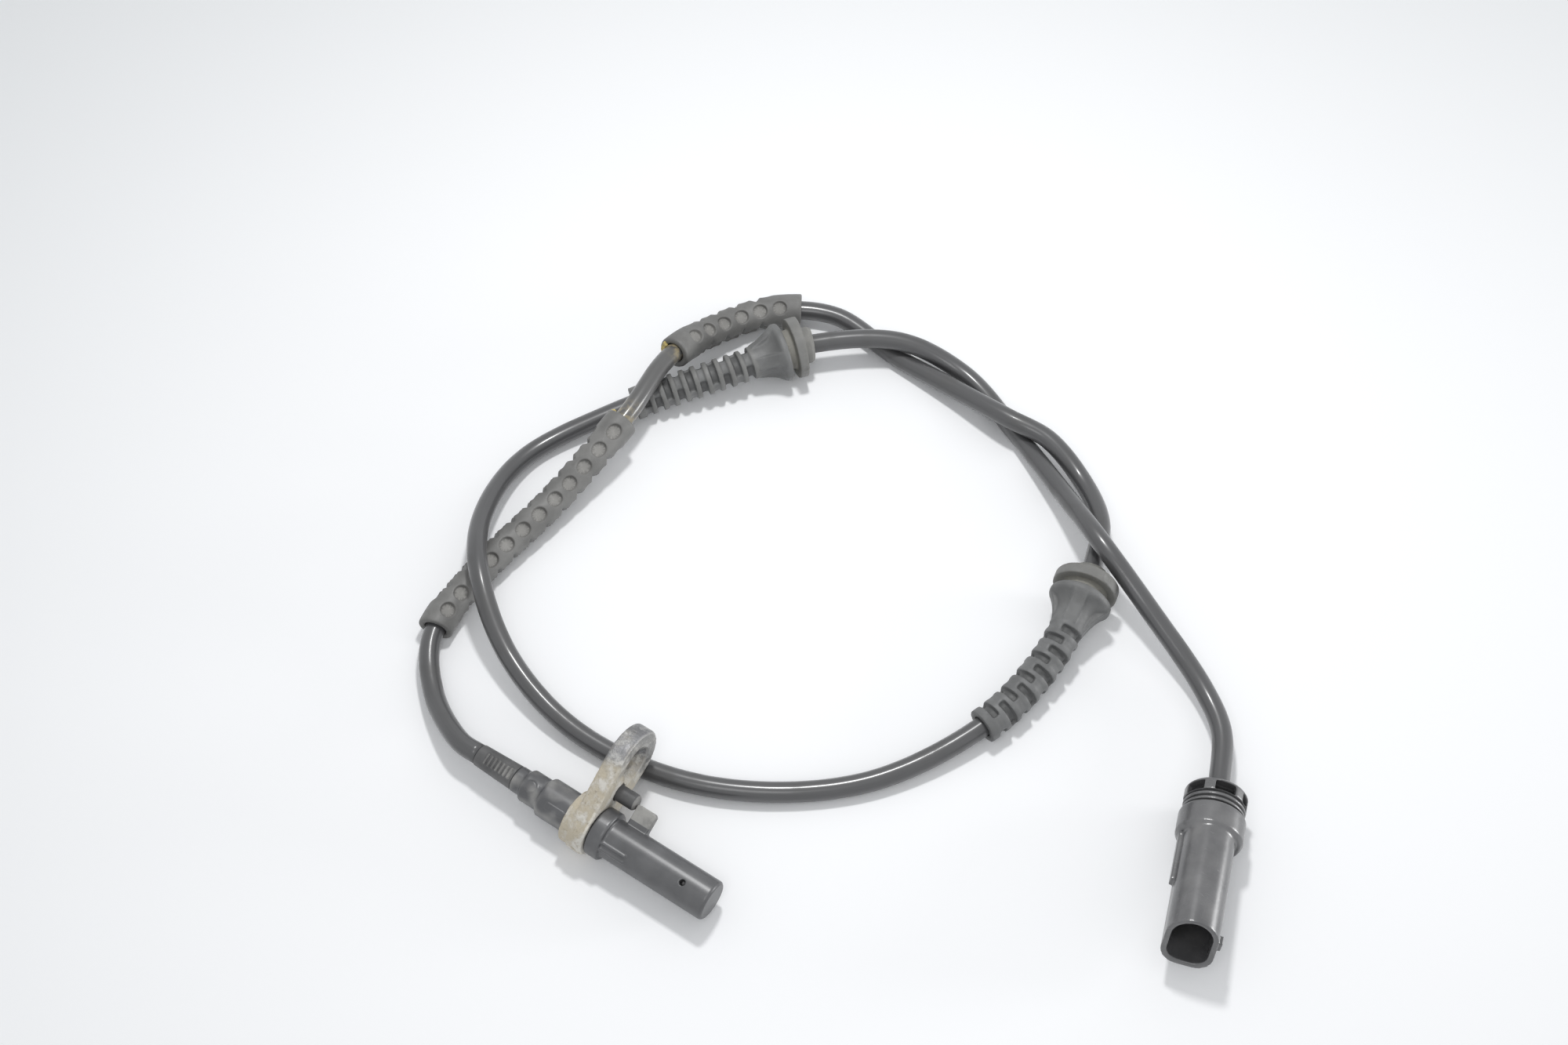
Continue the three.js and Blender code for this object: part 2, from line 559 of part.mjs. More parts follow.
// Bend grommet: a tail with windows down to its sheath, a ribbed bell, a panel groove, a disc and a hub.
function grommet(name, { at, reversed }) {
  const profile = [[0, 0], [0, RING_RADIUS], [END_COLLAR_WIDTH, RING_RADIUS]];
  const slots = [];
  for (let i = 0; i < RINGS; i += 1) {
    const slot = END_COLLAR_WIDTH + i * RING_PITCH;
    const ring = slot + RING_PITCH - RING_WIDTH;
    profile.push([slot, TAIL_RADIUS], [ring, TAIL_RADIUS]);
    profile.push([ring, RING_RADIUS], [ring + RING_WIDTH, RING_RADIUS]);
    const across = i % 2 ? [WINDOW_WIDTH, 3 * RING_RADIUS] : [3 * RING_RADIUS, WINDOW_WIDTH];
    slots.push(block((slot + ring) / 2, 0, 0, ring - slot, ...across));
  }
  const bell = END_COLLAR_WIDTH + RINGS * RING_PITCH;
  const groove = bell + BELL_LENGTH + BELL_RIM;
  const disc = groove + GROOVE_WIDTH;
  const hub = disc + DISC_WIDTH;
  const lip = hub + HUB_WIDTH;
  const length = lip + LIP_WIDTH;
  profile.push(
    ...bellCurve(bell, 0), [groove, BELL_RADIUS], [groove, GROOVE_RADIUS], [disc, GROOVE_RADIUS],
    [disc, DISC_RADIUS], [hub, DISC_RADIUS], [hub, HUB_RADIUS], [lip, HUB_RADIUS], [lip, LIP_RADIUS],
    [length, LIP_RADIUS], [length, 0],
  );
  const gussetShape = new THREE.Shape(bellCurve(bell, GUSSET_LIFT).map(([x, r]) => new THREE.Vector2(x, r)));
  gussetShape.lineTo(bell + BELL_LENGTH, TAIL_RADIUS);
  gussetShape.lineTo(bell, TAIL_RADIUS);
  gussetShape.closePath();
  const gussets = [];
  for (let i = 0; i < GUSSETS; i += 1) {
    const plate = new THREE.ExtrudeGeometry(gussetShape, { depth: GUSSET_THICKNESS, bevelEnabled: false });
    plate.translate(0, 0, -GUSSET_THICKNESS / 2).rotateX(VIEW_SIDE + i * 2 * Math.PI / GUSSETS);
    gussets.push(solid(plate));
  }
  const nub = new THREE.CylinderGeometry(NUB_RADIUS, NUB_RADIUS, CUT + GAP, FINE_SIDES);
  nub.translate(disc + DISC_WIDTH / 2, DISC_RADIUS - CUT / 2 + GAP / 2, 0).rotateX(-VIEW_SIDE / 2);
  const sheath = bar(END_COLLAR_WIDTH / 2, bell + GAP, SHEATH_RADIUS, GROMMET_SIDES);
  const slotted = cut(turnedSolid(profile, GROMMET_SIDES), ...slots);
  const straight = add(slotted, sheath, ...gussets, solid(nub));
  const laid = layOnCable(geometryOf(straight), reversed ? at + length : at, reversed ? -1 : 1);
  return piece(name, solid(laid).subtract(cableRoom(at, at + length, GROMMET_SIDES)), 'grommet');
}

function stadium(width, height) {
  const radius = width / 2;
  const straight = (height - width) / 2;
  const shape = new THREE.Shape();
  shape.absarc(0, straight, radius, 0, Math.PI, false);
  shape.absarc(0, -straight, radius, Math.PI, 2 * Math.PI, false);
  shape.closePath();
  return shape;
}

// Upright section pushed along +X from start to end.
function pushed(shape, start, end) {
  const sweep = { depth: end - start, bevelEnabled: false, curveSegments: 10 };
  const form = new THREE.ExtrudeGeometry(shape, sweep);
  return form.rotateY(Math.PI / 2).rotateX(Math.PI / 2).translate(start, 0, 0);
}

function plugCap() {
  const cableHole = around(CABLE_RADIUS);
  const shell = turnedSolid([
    [0, cableHole], [0, CAP_RADIUS - CAP_CHAMFER], [CAP_CHAMFER, CAP_RADIUS],
    [CAP_LENGTH - CAP_BAND, CAP_RADIUS], [CAP_LENGTH - CAP_BAND, CAP_RADIUS - CAP_RIB_HEIGHT],
    [CAP_LENGTH - CAP_RIB_START, CAP_RADIUS - CAP_RIB_HEIGHT],
    [CAP_LENGTH - CAP_RIB_START, CAP_RADIUS - GAP / 2],
    [CAP_LENGTH - CAP_RIB_END, CAP_RADIUS - GAP / 2],
    [CAP_LENGTH - CAP_RIB_END, CAP_RADIUS - CAP_RIB_HEIGHT],
    [CAP_LENGTH, CAP_RADIUS - CAP_RIB_HEIGHT], [CAP_LENGTH, CAP_RADIUS - CAP_WALL],
    [CAP_WALL, CAP_RADIUS - CAP_WALL], [CAP_WALL, cableHole], [0, cableHole],
  ]);
  const windows = [];
  for (let i = 0; i < CAP_WINDOWS; i += 1) {
    const opening = new THREE.BoxGeometry(CAP_WINDOW.length, CAP_WINDOW.width, CAP_RADIUS);
    opening.translate(CAP_WINDOW.start + CAP_WINDOW.length / 2, 0, CAP_RADIUS);
    windows.push(solid(opening.rotateX((i + 0.5) * 2 * Math.PI / CAP_WINDOWS)));
  }
  return piece('plug_cap', cut(shell, ...windows), 'plug');
}

function plugHousing() {
  const start = CAP_LENGTH + GAP;
  const barrel = solid(pushed(stadium(BARREL_WIDTH, BARREL_HEIGHT), start, BARREL_END));
  const collarEnd = start + COLLAR_LENGTH;
  const collar = turnedSolid([
    [start, 0], [start, COLLAR_RADIUS - CAP_CHAMFER], [start + CAP_CHAMFER, COLLAR_RADIUS],
    [collarEnd - CAP_CHAMFER, COLLAR_RADIUS], [collarEnd, COLLAR_RADIUS - CAP_CHAMFER], [collarEnd, 0],
  ]);
  const keySide = -BARREL_WIDTH / 2 - SIDE_KEY.reach / 2;
  const sideKey = block(
    SIDE_KEY.start + SIDE_KEY.length / 2, keySide + CUT / 2, 0,
    SIDE_KEY.length, SIDE_KEY.reach + CUT, SIDE_KEY.width,
  );
  const nubSide = BARREL_WIDTH / 2 + (LATCH_NUB.reach - CUT) / 2;
  const nub = block(
    LATCH_NUB.start + LATCH_NUB.length / 2, nubSide, -BARREL_WIDTH / 8,
    LATCH_NUB.length, LATCH_NUB.reach + CUT, LATCH_NUB.width,
  );
  const socket = solid(pushed(stadium(SOCKET_WIDTH, SOCKET_HEIGHT), SOCKET_START, BARREL_END + CUT));
  const sealBore = bar(start - CUT, WEB_START, around(SEAL_RADIUS));
  const terminalHole = around(TERMINAL_RADIUS, SMALL_SIDES);
  const holes = [1, -1].map((sign) => bar(
    WEB_START - CUT, SOCKET_START + CUT, terminalHole, SMALL_SIDES, sign * TERMINAL_SPACING / 2,
  ));
  const slope = Math.atan2(BARREL_SLANT, BARREL_HEIGHT);
  const face = new THREE.BoxGeometry(BARREL_HEIGHT, 2 * BARREL_HEIGHT, 3 * BARREL_HEIGHT);
  face.translate(BARREL_HEIGHT / 2, 0, 0).rotateY(slope).translate(BARREL_END - BARREL_SLANT / 2, 0, 0);
  const body = cut(add(barrel, collar, sideKey, nub), socket, sealBore, ...holes, solid(face));
  return piece('plug_housing', body, 'plug');
}

function plugSeal() {
  const start = SEAL_START;
  const pitch = SEAL_LENGTH / (2 * SEAL_RIBS + 1);
  const profile = [[start, 0]];
  for (let i = 0; i <= 2 * SEAL_RIBS; i += 1) {
    const radius = i % 2 ? SEAL_RADIUS : SEAL_RADIUS - CAP_RIB_HEIGHT;
    profile.push([start + i * pitch, radius], [start + (i + 1) * pitch, radius]);
  }
  profile.push([start + SEAL_LENGTH, 0]);
  const coreHole = around(CORE_RADIUS, SMALL_SIDES);
  const holes = [1, -1].map((sign) => bar(
    start - CUT, start + SEAL_LENGTH + CUT, coreHole, SMALL_SIDES, sign * CORE_OFFSET,
  ));
  return piece('plug_seal', cut(turnedSolid(profile, SLEEVE_SIDES), ...holes), 'seal');
}

// Cores inside the plug and the terminals that stand in its socket.
function plugContacts() {
  const pieces = [];
  const sides = { left: 1, right: -1 };
  const coreEnd = SEAL_START + SEAL_LENGTH + CUT;
  for (const [side, sign] of Object.entries(sides)) {
    const core = bar(TUBE_IN_CAP + GAP, coreEnd, CORE_RADIUS, SMALL_SIDES, sign * CORE_OFFSET);
    pieces.push(piece(`plug_core_${side}`, core, side === 'left' ? 'core' : 'coreTwo'));
    const end = SOCKET_START + TERMINAL_REACH;
    const terminal = turned([
      [coreEnd + GAP, 0], [coreEnd + GAP, TERMINAL_RADIUS], [end - TERMINAL_CHAMFER, TERMINAL_RADIUS],
      [end, TERMINAL_RADIUS - TERMINAL_CHAMFER], [end, 0],
    ], SMALL_SIDES);
    terminal.translate(0, sign * TERMINAL_SPACING / 2, 0);
    pieces.push(piece(`terminal_${side}`, solid(terminal), 'brass'));
  }
  return pieces;
}

const head = new THREE.Group();
head.position.set(HEAD_X, HEAD_Y, LOBE_RADIUS);
head.add(sensorHousing(), mountingFlange(), locatingPeg(), ...electronics(), strainRelief());

const plug = new THREE.Group();
plug.position.copy(PLUG_REAR);
plug.rotation.copy(plugTurn);
plug.add(plugCap(), plugHousing(), plugSeal(), ...plugContacts());

const cable = new THREE.Group();
cable.add(
  cableJacket(),
  sleeve('long_sleeve', LONG_SLEEVE),
  sleeve('short_sleeve', SHORT_SLEEVE),
  grommet('grommet_inner', INNER_GROMMET),
  grommet('grommet_outer', OUTER_GROMMET),
);

const sensor = new THREE.Group();
sensor.add(head, cable, plug);

export default sensor;
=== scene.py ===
import math
from types import SimpleNamespace

import bmesh
import bpy
from bpy.props import FloatProperty, FloatVectorProperty, IntProperty, PointerProperty
from mathutils import Matrix, Vector, noise


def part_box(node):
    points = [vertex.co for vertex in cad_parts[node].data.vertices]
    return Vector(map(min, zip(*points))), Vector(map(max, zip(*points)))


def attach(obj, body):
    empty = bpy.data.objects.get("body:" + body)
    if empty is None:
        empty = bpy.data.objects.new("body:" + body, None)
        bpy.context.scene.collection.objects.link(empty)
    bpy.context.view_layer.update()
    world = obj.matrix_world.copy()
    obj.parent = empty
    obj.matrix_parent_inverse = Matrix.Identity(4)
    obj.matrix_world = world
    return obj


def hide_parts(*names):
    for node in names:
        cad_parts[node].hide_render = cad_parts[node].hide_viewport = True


bl_info = {
    "name": "Wheel Speed Sensor",
    "version": (1, 0, 0),
    "blender": (4, 5, 0),
    "location": "View3D > Sidebar > Sensor",
    "description": "Builds a wheel speed sensor with its cable, sleeves, grommets and plug",
    "category": "Object",
}

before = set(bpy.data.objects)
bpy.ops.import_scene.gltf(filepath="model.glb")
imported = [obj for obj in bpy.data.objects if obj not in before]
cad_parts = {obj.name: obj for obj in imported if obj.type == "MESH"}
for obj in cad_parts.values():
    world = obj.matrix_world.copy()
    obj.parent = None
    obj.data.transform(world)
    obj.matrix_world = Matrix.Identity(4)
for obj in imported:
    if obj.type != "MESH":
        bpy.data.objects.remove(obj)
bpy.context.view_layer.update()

MM = 0.001
BODY = "root"

# The cable's route in millimetres, from the probe's neck to the plug, as the CAD part lays it
NECK_END = (-42.35, -9.45, 7.6)
PLUG_REAR = (120.6, 84.8, 8.15)
PLUG_TURN = Matrix.Rotation(math.radians(-73.1), 4, "Z") @ Matrix.Rotation(math.radians(-8), 4, "Y")
LEAD_IN = 6.0
TUBE_IN_CAP = 4.5
ROUTE = [
    NECK_END, (-49, -9.2, 7.35), (-65, -1, 4.2), (-76, 12, 4.9), (-78, 34, 5.1),
    (-74.4, 65, 6.9), (-71.4, 96, 13.8), (-73.8, 119, 13), (-71.6, 138, 7), (-61, 155.8, 5.2),
    (-45, 164.6, 4.6), (-23, 162.6, 3), (-2, 160.2, 5.6), (18, 157.2, 9.2), (31, 157.6, 8.2),
    (45, 152.4, 5.4), (56.5, 141.5, 7.4), (62, 126.5, 9.5), (64.8, 112, 9.5), (65.6, 95, 7.1),
    (61.4, 72, 4.9), (43, 40, 2.95), (9.5, 17, 3), (-26, 11, 3.35), (-54, 17.6, 7.4),
    (-75, 32.4, 13.7), (-87, 49.5, 9.4), (-91.4, 73, 4), (-79, 99.8, 4.9), (-58, 128, 8.6),
    (-43, 148.5, 9.85), (-22, 164.2, 8.8), (-2, 167.4, 3.8), (19, 158.8, 3.05), (41, 145.4, 7.6),
    (60.4, 131.2, 15.6), (81, 122.4, 10.6), (103.5, 111.6, 5.8), (113.4, 102.6, 6.2),
]
FRONT_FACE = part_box("mounting_flange")[1].x / MM
HEAD_SEAT = Matrix.Translation(Vector((FRONT_FACE, NECK_END[1], NECK_END[2])))
PLUG_SEAT = Matrix.Translation(Vector(PLUG_REAR)) @ PLUG_TURN


def length(name, description, default):
    """A length property in metres, with its default given in millimetres."""
    return FloatProperty(
        name=name, description=description, default=default * MM, min=0, unit="LENGTH", precision=5,
    )


def number(name, description, default, least=1):
    """A property that counts things."""
    return IntProperty(name=name, description=description, default=default, min=least)


def turning(name, description, degrees):
    """An angle property, with its default given in degrees."""
    default = math.radians(degrees)
    return FloatProperty(name=name, description=description, default=default, subtype="ANGLE")


def brightness(name, description, default):
    """A property for the strength or the power of a light."""
    return FloatProperty(name=name, description=description, default=default, min=0)


def colour(name, description, default):
    """A colour property."""
    return FloatVectorProperty(
        name=name, description=description, default=default, subtype="COLOR", min=0, max=1,
    )


class ProbeSizes(bpy.types.PropertyGroup):
    """Sizes of the moulded probe."""

    nose_radius: length("Nose radius", "Radius of the sensing nose", 5.35)
    nose_length: length("Nose length", "Length of the nose in front of the flange", 35)
    front_collar: length("Front collar", "Radius of the collar against the flange", 6.6)
    collar_length: length("Collar length", "Length of the front collar", 4.2)
    rear_body: length("Rear body", "Length of the wide body behind the flange", 16.5)
    rear_length: length("Rear length", "Length of the whole moulding behind the flange", 25.5)
    collar_end: length("Rear collar end", "Distance from the flange to the end of the rear collar", 22.5)
    rear_collar: length("Rear collar", "Radius of the narrow rear collar", 4.4)
    vent: length("Vent", "Radius of the vent hole near the tip", 0.8)
    vent_place: length("Vent place", "Distance of the vent from the flange", 27.3)
    key_reach: length("Key reach", "Distance of the key's edge from the axis", 10.7)


class FlangeSizes(bpy.types.PropertyGroup):
    """Sizes of the metal flange."""

    thickness: length("Thickness", "Thickness of the plate", 5)
    lobe: length("Lobe radius", "Radius of the plate round the probe", 7.6)
    eye: length("Eye radius", "Radius of the plate round the bolt hole", 9.6)
    spacing: length("Spacing", "Distance from the probe to the bolt hole", 18.5)
    bolt_hole: length("Bolt hole", "Radius of the bolt hole", 3.5)
    countersink: length("Countersink", "Width of the chamfer at the bolt hole", 1.9)
    boss: length("Boss radius", "Radius of the rear boss", 7.1)
    boss_height: length("Boss height", "Height of the rear boss", 2.2)
    peg: length("Peg radius", "Radius of the locating peg", 2.2)
    peg_place: length("Peg place", "Distance of the peg from the probe's axis", 10.6)
    peg_reach: length("Peg reach", "How far the peg stands in front of the flange", 5.9)


class CableSizes(bpy.types.PropertyGroup):
    """Sizes of the cable and its strain relief."""

    radius: length("Radius", "Radius of the cable's jacket", 2.75)
    relief_length: length("Relief length", "Length of the ridged neck", 11.5)
    relief_front: length("Relief front", "Radius of the neck at the probe", 3.4)
    relief_rear: length("Relief rear", "Radius of the neck at the cable", 2.95)
    ridges: number("Ridges", "Short ridges on the neck", 7, 0)


class SleeveSizes(bpy.types.PropertyGroup):
    """Sizes of the dimpled sleeves."""

    radius: length("Radius", "Outer radius of a sleeve", 4.8)
    dimple: length("Dimple radius", "Radius of a recess", 2.25)
    depth: length("Dimple depth", "Depth of a recess", 1.15)
    notch: length("Notch depth", "Depth of the notches between the pads", 1.6)
    notch_width: length("Notch width", "Width of the notches between the pads", 3.5)
    pitch: length("Pitch", "Distance from one recess to the next", 6.4)
    long_start: length("Long sleeve start", "Distance of the long sleeve along the cable", 44.6)
    long_plain: length("Long plain ends", "Plain length of the long sleeve's two ends", 3.6)
    long_count: number("Long count", "Recesses in a row of the long sleeve", 12)
    short_start: length("Short sleeve start", "Distance of the short sleeve along the cable", 153.9)
    short_plain: length("Short plain ends", "Plain length of the short sleeve's two ends", 7.6)
    short_count: number("Short count", "Recesses in a row of the short sleeve", 6)


class GrommetSizes(bpy.types.PropertyGroup):
    """Sizes of the slotted grommets."""

    sheath: length("Sheath radius", "Outer radius of the sheath under the windows", 3.4)
    web: length("Web radius", "Outer radius of the inner grommet's webs", 4.15)
    ring: length("Ring radius", "Outer radius of a ring", 4.8)
    ring_width: length("Ring width", "Width of a ring", 1.4)
    pitch: length("Ring pitch", "Distance from one ring to the next", 3.48)
    rings: number("Rings", "Rings on the tail", 10)
    collar: length("End collar", "Width of the tail's end collar", 2.4)
    bell: length("Bell length", "Length of the bell", 7.2)
    rim: length("Rim radius", "Radius of the bell's rim", 8.6)
    rim_width: length("Rim width", "Width of the bell's rim", 2.2)
    groove: length("Groove radius", "Radius of the panel groove", 5.8)
    groove_width: length("Groove width", "Width of the panel groove", 2.3)
    disc: length("Disc radius", "Radius of the disc", 8.9)
    disc_width: length("Disc width", "Width of the disc", 3)
    hub: length("Hub radius", "Radius of the hub", 5.4)
    hub_width: length("Hub width", "Width of the hub", 2.4)
    inner_start: length("Inner start", "Distance of the inner grommet along the cable", 643)
    outer_start: length("Outer start", "Distance of the outer grommet along the cable", 338)


class PlugSizes(bpy.types.PropertyGroup):
    """Sizes of the plug."""

    cap: length("Cap radius", "Radius of the rear cap", 8)
    cap_length: length("Cap length", "Length of the rear cap", 7.2)
    collar: length("Collar radius", "Radius of the collar", 8.45)
    collar_length: length("Collar length", "Length of the collar", 7.6)
    width: length("Barrel width", "Width of the oval barrel", 12.8)
    height: length("Barrel height", "Height of the oval barrel", 16)
    end: length("Barrel end", "Distance of the mouth from the rear face", 46)
    slant: length("Slant", "How far the mouth's lower edge stands forward", 3)
    socket_start: length("Socket start", "Distance of the socket's floor from the rear face", 26)
    socket_width: length("Socket width", "Width of the socket", 9.8)
    socket_height: length("Socket height", "Height of the socket", 13.4)


class Colours(bpy.types.PropertyGroup):
    """Main colours of the finishes."""

    jacket: colour("Jacket", "Cable jacket", (0.062, 0.062, 0.064))
    sleeve: colour("Sleeve", "Rubber of the dimpled sleeves", (0.145, 0.144, 0.139))
    grommet: colour("Grommet", "Rubber of the grommets", (0.125, 0.127, 0.127))
    probe: colour("Probe", "Plastic of the probe", (0.066, 0.067, 0.071))
    plug: colour("Plug", "Plastic of the plug", (0.075, 0.075, 0.079))
    steel: colour("Steel", "Clean metal of the flange", (0.23, 0.23, 0.235))
    tan: colour("Corrosion", "Tan corrosion of the flange", (0.5, 0.45, 0.355))
    glue: colour("Glue", "Aged glue at the sleeve ends", (0.55, 0.44, 0.16))


class Studio(bpy.types.PropertyGroup):
    """Camera and light."""

    lens: FloatProperty(
        name="Lens", description="Focal length for a 36 mm sensor", default=45, unit="CAMERA",
    )
    tilt: turning("Tilt", "Camera tilt from straight down", 33)
    turn: turning("Turn", "Camera turn about the vertical", 33.488)
    height: length("Height", "Height of the camera", 462.6)
    east: length("East", "Camera place along X", 146.6)
    south: length("South", "Camera place against Y", 153.4)
    sky: brightness("Sky", "Strength of the even light", 0.55)
    key: brightness("Key", "Power of the small lamp overhead", 0.82)
    side: brightness("Side", "Power of the low lamp at the side", 1.8)
    front: brightness("Front", "Power of the broad lamp in front", 0.3)


GROUPS = {
    "sensor_probe": ProbeSizes,
    "sensor_flange": FlangeSizes,
    "sensor_cable": CableSizes,
    "sensor_sleeves": SleeveSizes,
    "sensor_grommets": GrommetSizes,
    "sensor_plug": PlugSizes,
    "sensor_colours": Colours,
    "sensor_studio": Studio,
}

# Directions round the probe and the cable, measured from +Y towards +Z
CAMERA_SIDE = math.radians(107)
SLEEVE_SIDE = math.radians(118)
FLANGE_ROLL = math.radians(24)
RIB_ANGLES = [math.radians(degrees) for degrees in (131, 150, 311, 330)]


def in_mm(group):
    """A group's sizes, with its lengths in millimetres."""
    values = {key: getattr(group, key) for key in type(group).__annotations__}
    return SimpleNamespace(**{key: v / MM if isinstance(v, float) else v for key, v in values.items()})


class CableLine:
    """The cable's centreline, a centripetal Catmull-Rom curve through its route, in millimetres."""

    STEPS = 40

    def __init__(self, route):
        ends = [PLUG_SEAT @ Vector((x, 0, 0)) for x in (-LEAD_IN, TUBE_IN_CAP)]
        points = [Vector(point) for point in route] + ends
        points = [2 * points[0] - points[1], *points, 2 * points[-1] - points[-2]]
        self.points = []
        for i in range(1, len(points) - 2):
            span = [self._inside(points[i - 1:i + 3], step / self.STEPS) for step in range(self.STEPS)]
            self.points.extend(span)
        self.points.append(points[-2])
        self.distances = [0.0]
        for first, second in zip(self.points, self.points[1:]):
            self.distances.append(self.distances[-1] + (second - first).length)
        self.length = self.distances[-1]

    @staticmethod
    def _inside(four, t):
        before, start, end, after = four
        gaps = [math.sqrt((b - a).length) for a, b in zip(four, four[1:])]
        leave = (start - before) / gaps[0] - (end - before) / (gaps[0] + gaps[1]) + (end - start) / gaps[1]
        arrive = (end - start) / gaps[1] - (after - start) / (gaps[1] + gaps[2]) + (after - end) / gaps[2]
        leave, arrive = leave * gaps[1], arrive * gaps[1]
        cubic = 2 * start - 2 * end + leave + arrive
        square = 3 * end - 3 * start - 2 * leave - arrive
        return ((cubic * t + square) * t + leave) * t + start

    def point(self, distance):
        """The point at a distance along the cable."""
        distance = min(max(distance, 0.0), self.length)
        low, high = 0, len(self.distances) - 1
        while high - low > 1:
            middle = (low + high) // 2
            if self.distances[middle] <= distance:
                low = middle
            else:
                high = middle
        share = (distance - self.distances[low]) / (self.distances[high] - self.distances[low])
        return self.points[low].lerp(self.points[high], share)

    def seat(self, distance):
        """A matrix at a distance along the cable: X along it, Y to its left and Z upwards."""
        reach = 1.5
        along = (self.point(distance + reach) - self.point(distance - reach)).normalized()
        left = Vector((0, 0, 1)).cross(along).normalized()
        up = along.cross(left)
        turn = Matrix((along, left, up)).transposed().to_4x4()
        return Matrix.Translation(self.point(distance)) @ turn

    def lay(self, start, direction=1):
        """A function that moves points of a straight piece onto the cable."""
        step = 0.5
        seats = {}

        def place(point):
            share = point.x / step
            index = math.floor(share)
            for i in (index, index + 1):
                if i not in seats:
                    seats[i] = self.seat(start + direction * i * step)
            flat = Vector((0, direction * point.y, point.z))
            return (seats[index] @ flat).lerp(seats[index + 1] @ flat, share - index)

        return place


LINE = CableLine(ROUTE)


def spot(form, x, angle, radius):
    """A new point at a distance along X, an angle and a radius."""
    return form.verts.new((x, radius * math.cos(angle), radius * math.sin(angle)))


def walls(form, rings, closed=True):
    """Faces between rings that follow each other, where a ring may be one point repeated."""
    for first, second in zip(rings, rings[1:]):
        for i in range(len(first) if closed else len(first) - 1):
            j = (i + 1) % len(first)
            form.faces.new(list(dict.fromkeys([first[i], first[j], second[j], second[i]])))


def turned(profile, segments=72):
    """A closed form turned round X from points of distance and radius in millimetres."""
    form = bmesh.new()
    angles = [2 * math.pi * i / segments for i in range(segments)]
    rings = []
    for x, radius in profile:
        if radius == 0:
            rings.append([form.verts.new((x, 0, 0))] * segments)
        else:
            rings.append([spot(form, x, angle, radius) for angle in angles])
    walls(form, rings if profile[0][1] == 0 else [*rings, rings[0]])
    bmesh.ops.recalc_face_normals(form, faces=form.faces)
    return form


def rod(start, end, radius, y=0.0, z=0.0, segments=40):
    """A round bar along X."""
    form = turned([(start, 0), (start, radius), (end, radius), (end, 0)], segments)
    return moved(form, Matrix.Translation((0, y, z)))


def ring(start, end, inner, outer, segments=72):
    """A flat ring round X."""
    return turned([(start, inner), (start, outer), (end, outer), (end, inner)], segments)


def block(low, high):
    """A box between two corners."""
    form = bmesh.new()
    size = [b - a for a, b in zip(low, high)]
    middle = [(a + b) / 2 for a, b in zip(low, high)]
    matrix = Matrix.Translation(middle) @ Matrix.Diagonal((*size, 1))
    bmesh.ops.create_cube(form, size=1, matrix=matrix)
    return form


def prism(low, high):
    """A closed form between two outlines that have as many points."""
    form = bmesh.new()
    sides = [[form.verts.new(point) for point in side] for side in (low, high)]
    form.faces.new(sides[0])
    form.faces.new(list(reversed(sides[1])))
    walls(form, sides)
    bmesh.ops.recalc_face_normals(form, faces=form.faces)
    return form


def pushed(outline, start, end):
    """An outline in Y and Z pushed along X."""
    return prism(*([(x, y, z) for y, z in outline] for x in (start, end)))


def slab(outline, half):
    """An outline in X and Y, thickened to both sides along Z."""
    return prism(*([(x, y, z) for x, y in outline] for z in (-half, half)))


def moved(form, matrix):
    """The same form after a matrix."""
    bmesh.ops.transform(form, matrix=matrix, verts=form.verts)
    return form


def rolled(form, angle):
    """The same form turned about X."""
    return moved(form, Matrix.Rotation(angle, 4, "X"))


def upright(form, x, angle):
    """A form built along X, turned to point away from the axis at a distance and an angle."""
    form = moved(form, Matrix.Rotation(math.pi / 2, 4, "Z"))
    return rolled(moved(form, Matrix.Translation((x, 0, 0))), angle)


def arc(centre, radius, start, end, steps):
    """Points on an arc of a circle."""
    angles = [start + (end - start) * i / steps for i in range(steps + 1)]
    return [(centre[0] + radius * math.cos(a), centre[1] + radius * math.sin(a)) for a in angles]


def sector(inner, outer, middle, half):
    """Part of a flat ring between two radii, as far as half an angle to both sides of its middle."""
    outline = arc((0, 0), outer, middle - half, middle + half, 16)
    return outline + arc((0, 0), inner, middle + half, middle - half, 16)


def arch(width, height, corner, steps):
    """An upright outline with a round top and a flatter bottom with round corners."""
    side, low = width / 2, corner - height / 2
    outline = arc((0, height / 2 - side), side, 0, math.pi, steps)
    outline += arc((corner - side, low), corner, math.pi, 1.5 * math.pi, steps // 2)
    return outline + arc((side - corner, low), corner, 1.5 * math.pi, 2 * math.pi, steps // 2)


def joined(forms):
    """One form from several."""
    mesh = bpy.data.meshes.new("joined")
    whole = bmesh.new()
    for form in forms:
        form.to_mesh(mesh)
        whole.from_mesh(mesh)
        form.free()
    bpy.data.meshes.remove(mesh)
    return whole


def object_of(name, form):
    """A new object in the scene from a form, which is freed."""
    mesh = bpy.data.meshes.new(name)
    form.to_mesh(mesh)
    form.free()
    piece = bpy.data.objects.new(name, mesh)
    bpy.context.scene.collection.objects.link(piece)
    return piece


def settle(piece):
    """Applies a piece's modifiers."""
    graph = bpy.context.evaluated_depsgraph_get()
    mesh = bpy.data.meshes.new_from_object(piece.evaluated_get(graph))
    piece.modifiers.clear()
    old = piece.data
    piece.data = mesh
    bpy.data.meshes.remove(old)


def voxels(piece, size, rounds):
    """Rebuilds a piece as one closed skin and softens its edges, as a mould leaves them."""
    remesh = piece.modifiers.new("skin", "REMESH")
    remesh.mode = "VOXEL"
    remesh.voxel_size = size
    if rounds:
        smooth = piece.modifiers.new("soften", "SMOOTH")
        smooth.factor = 0.5
        smooth.iterations = rounds
    settle(piece)


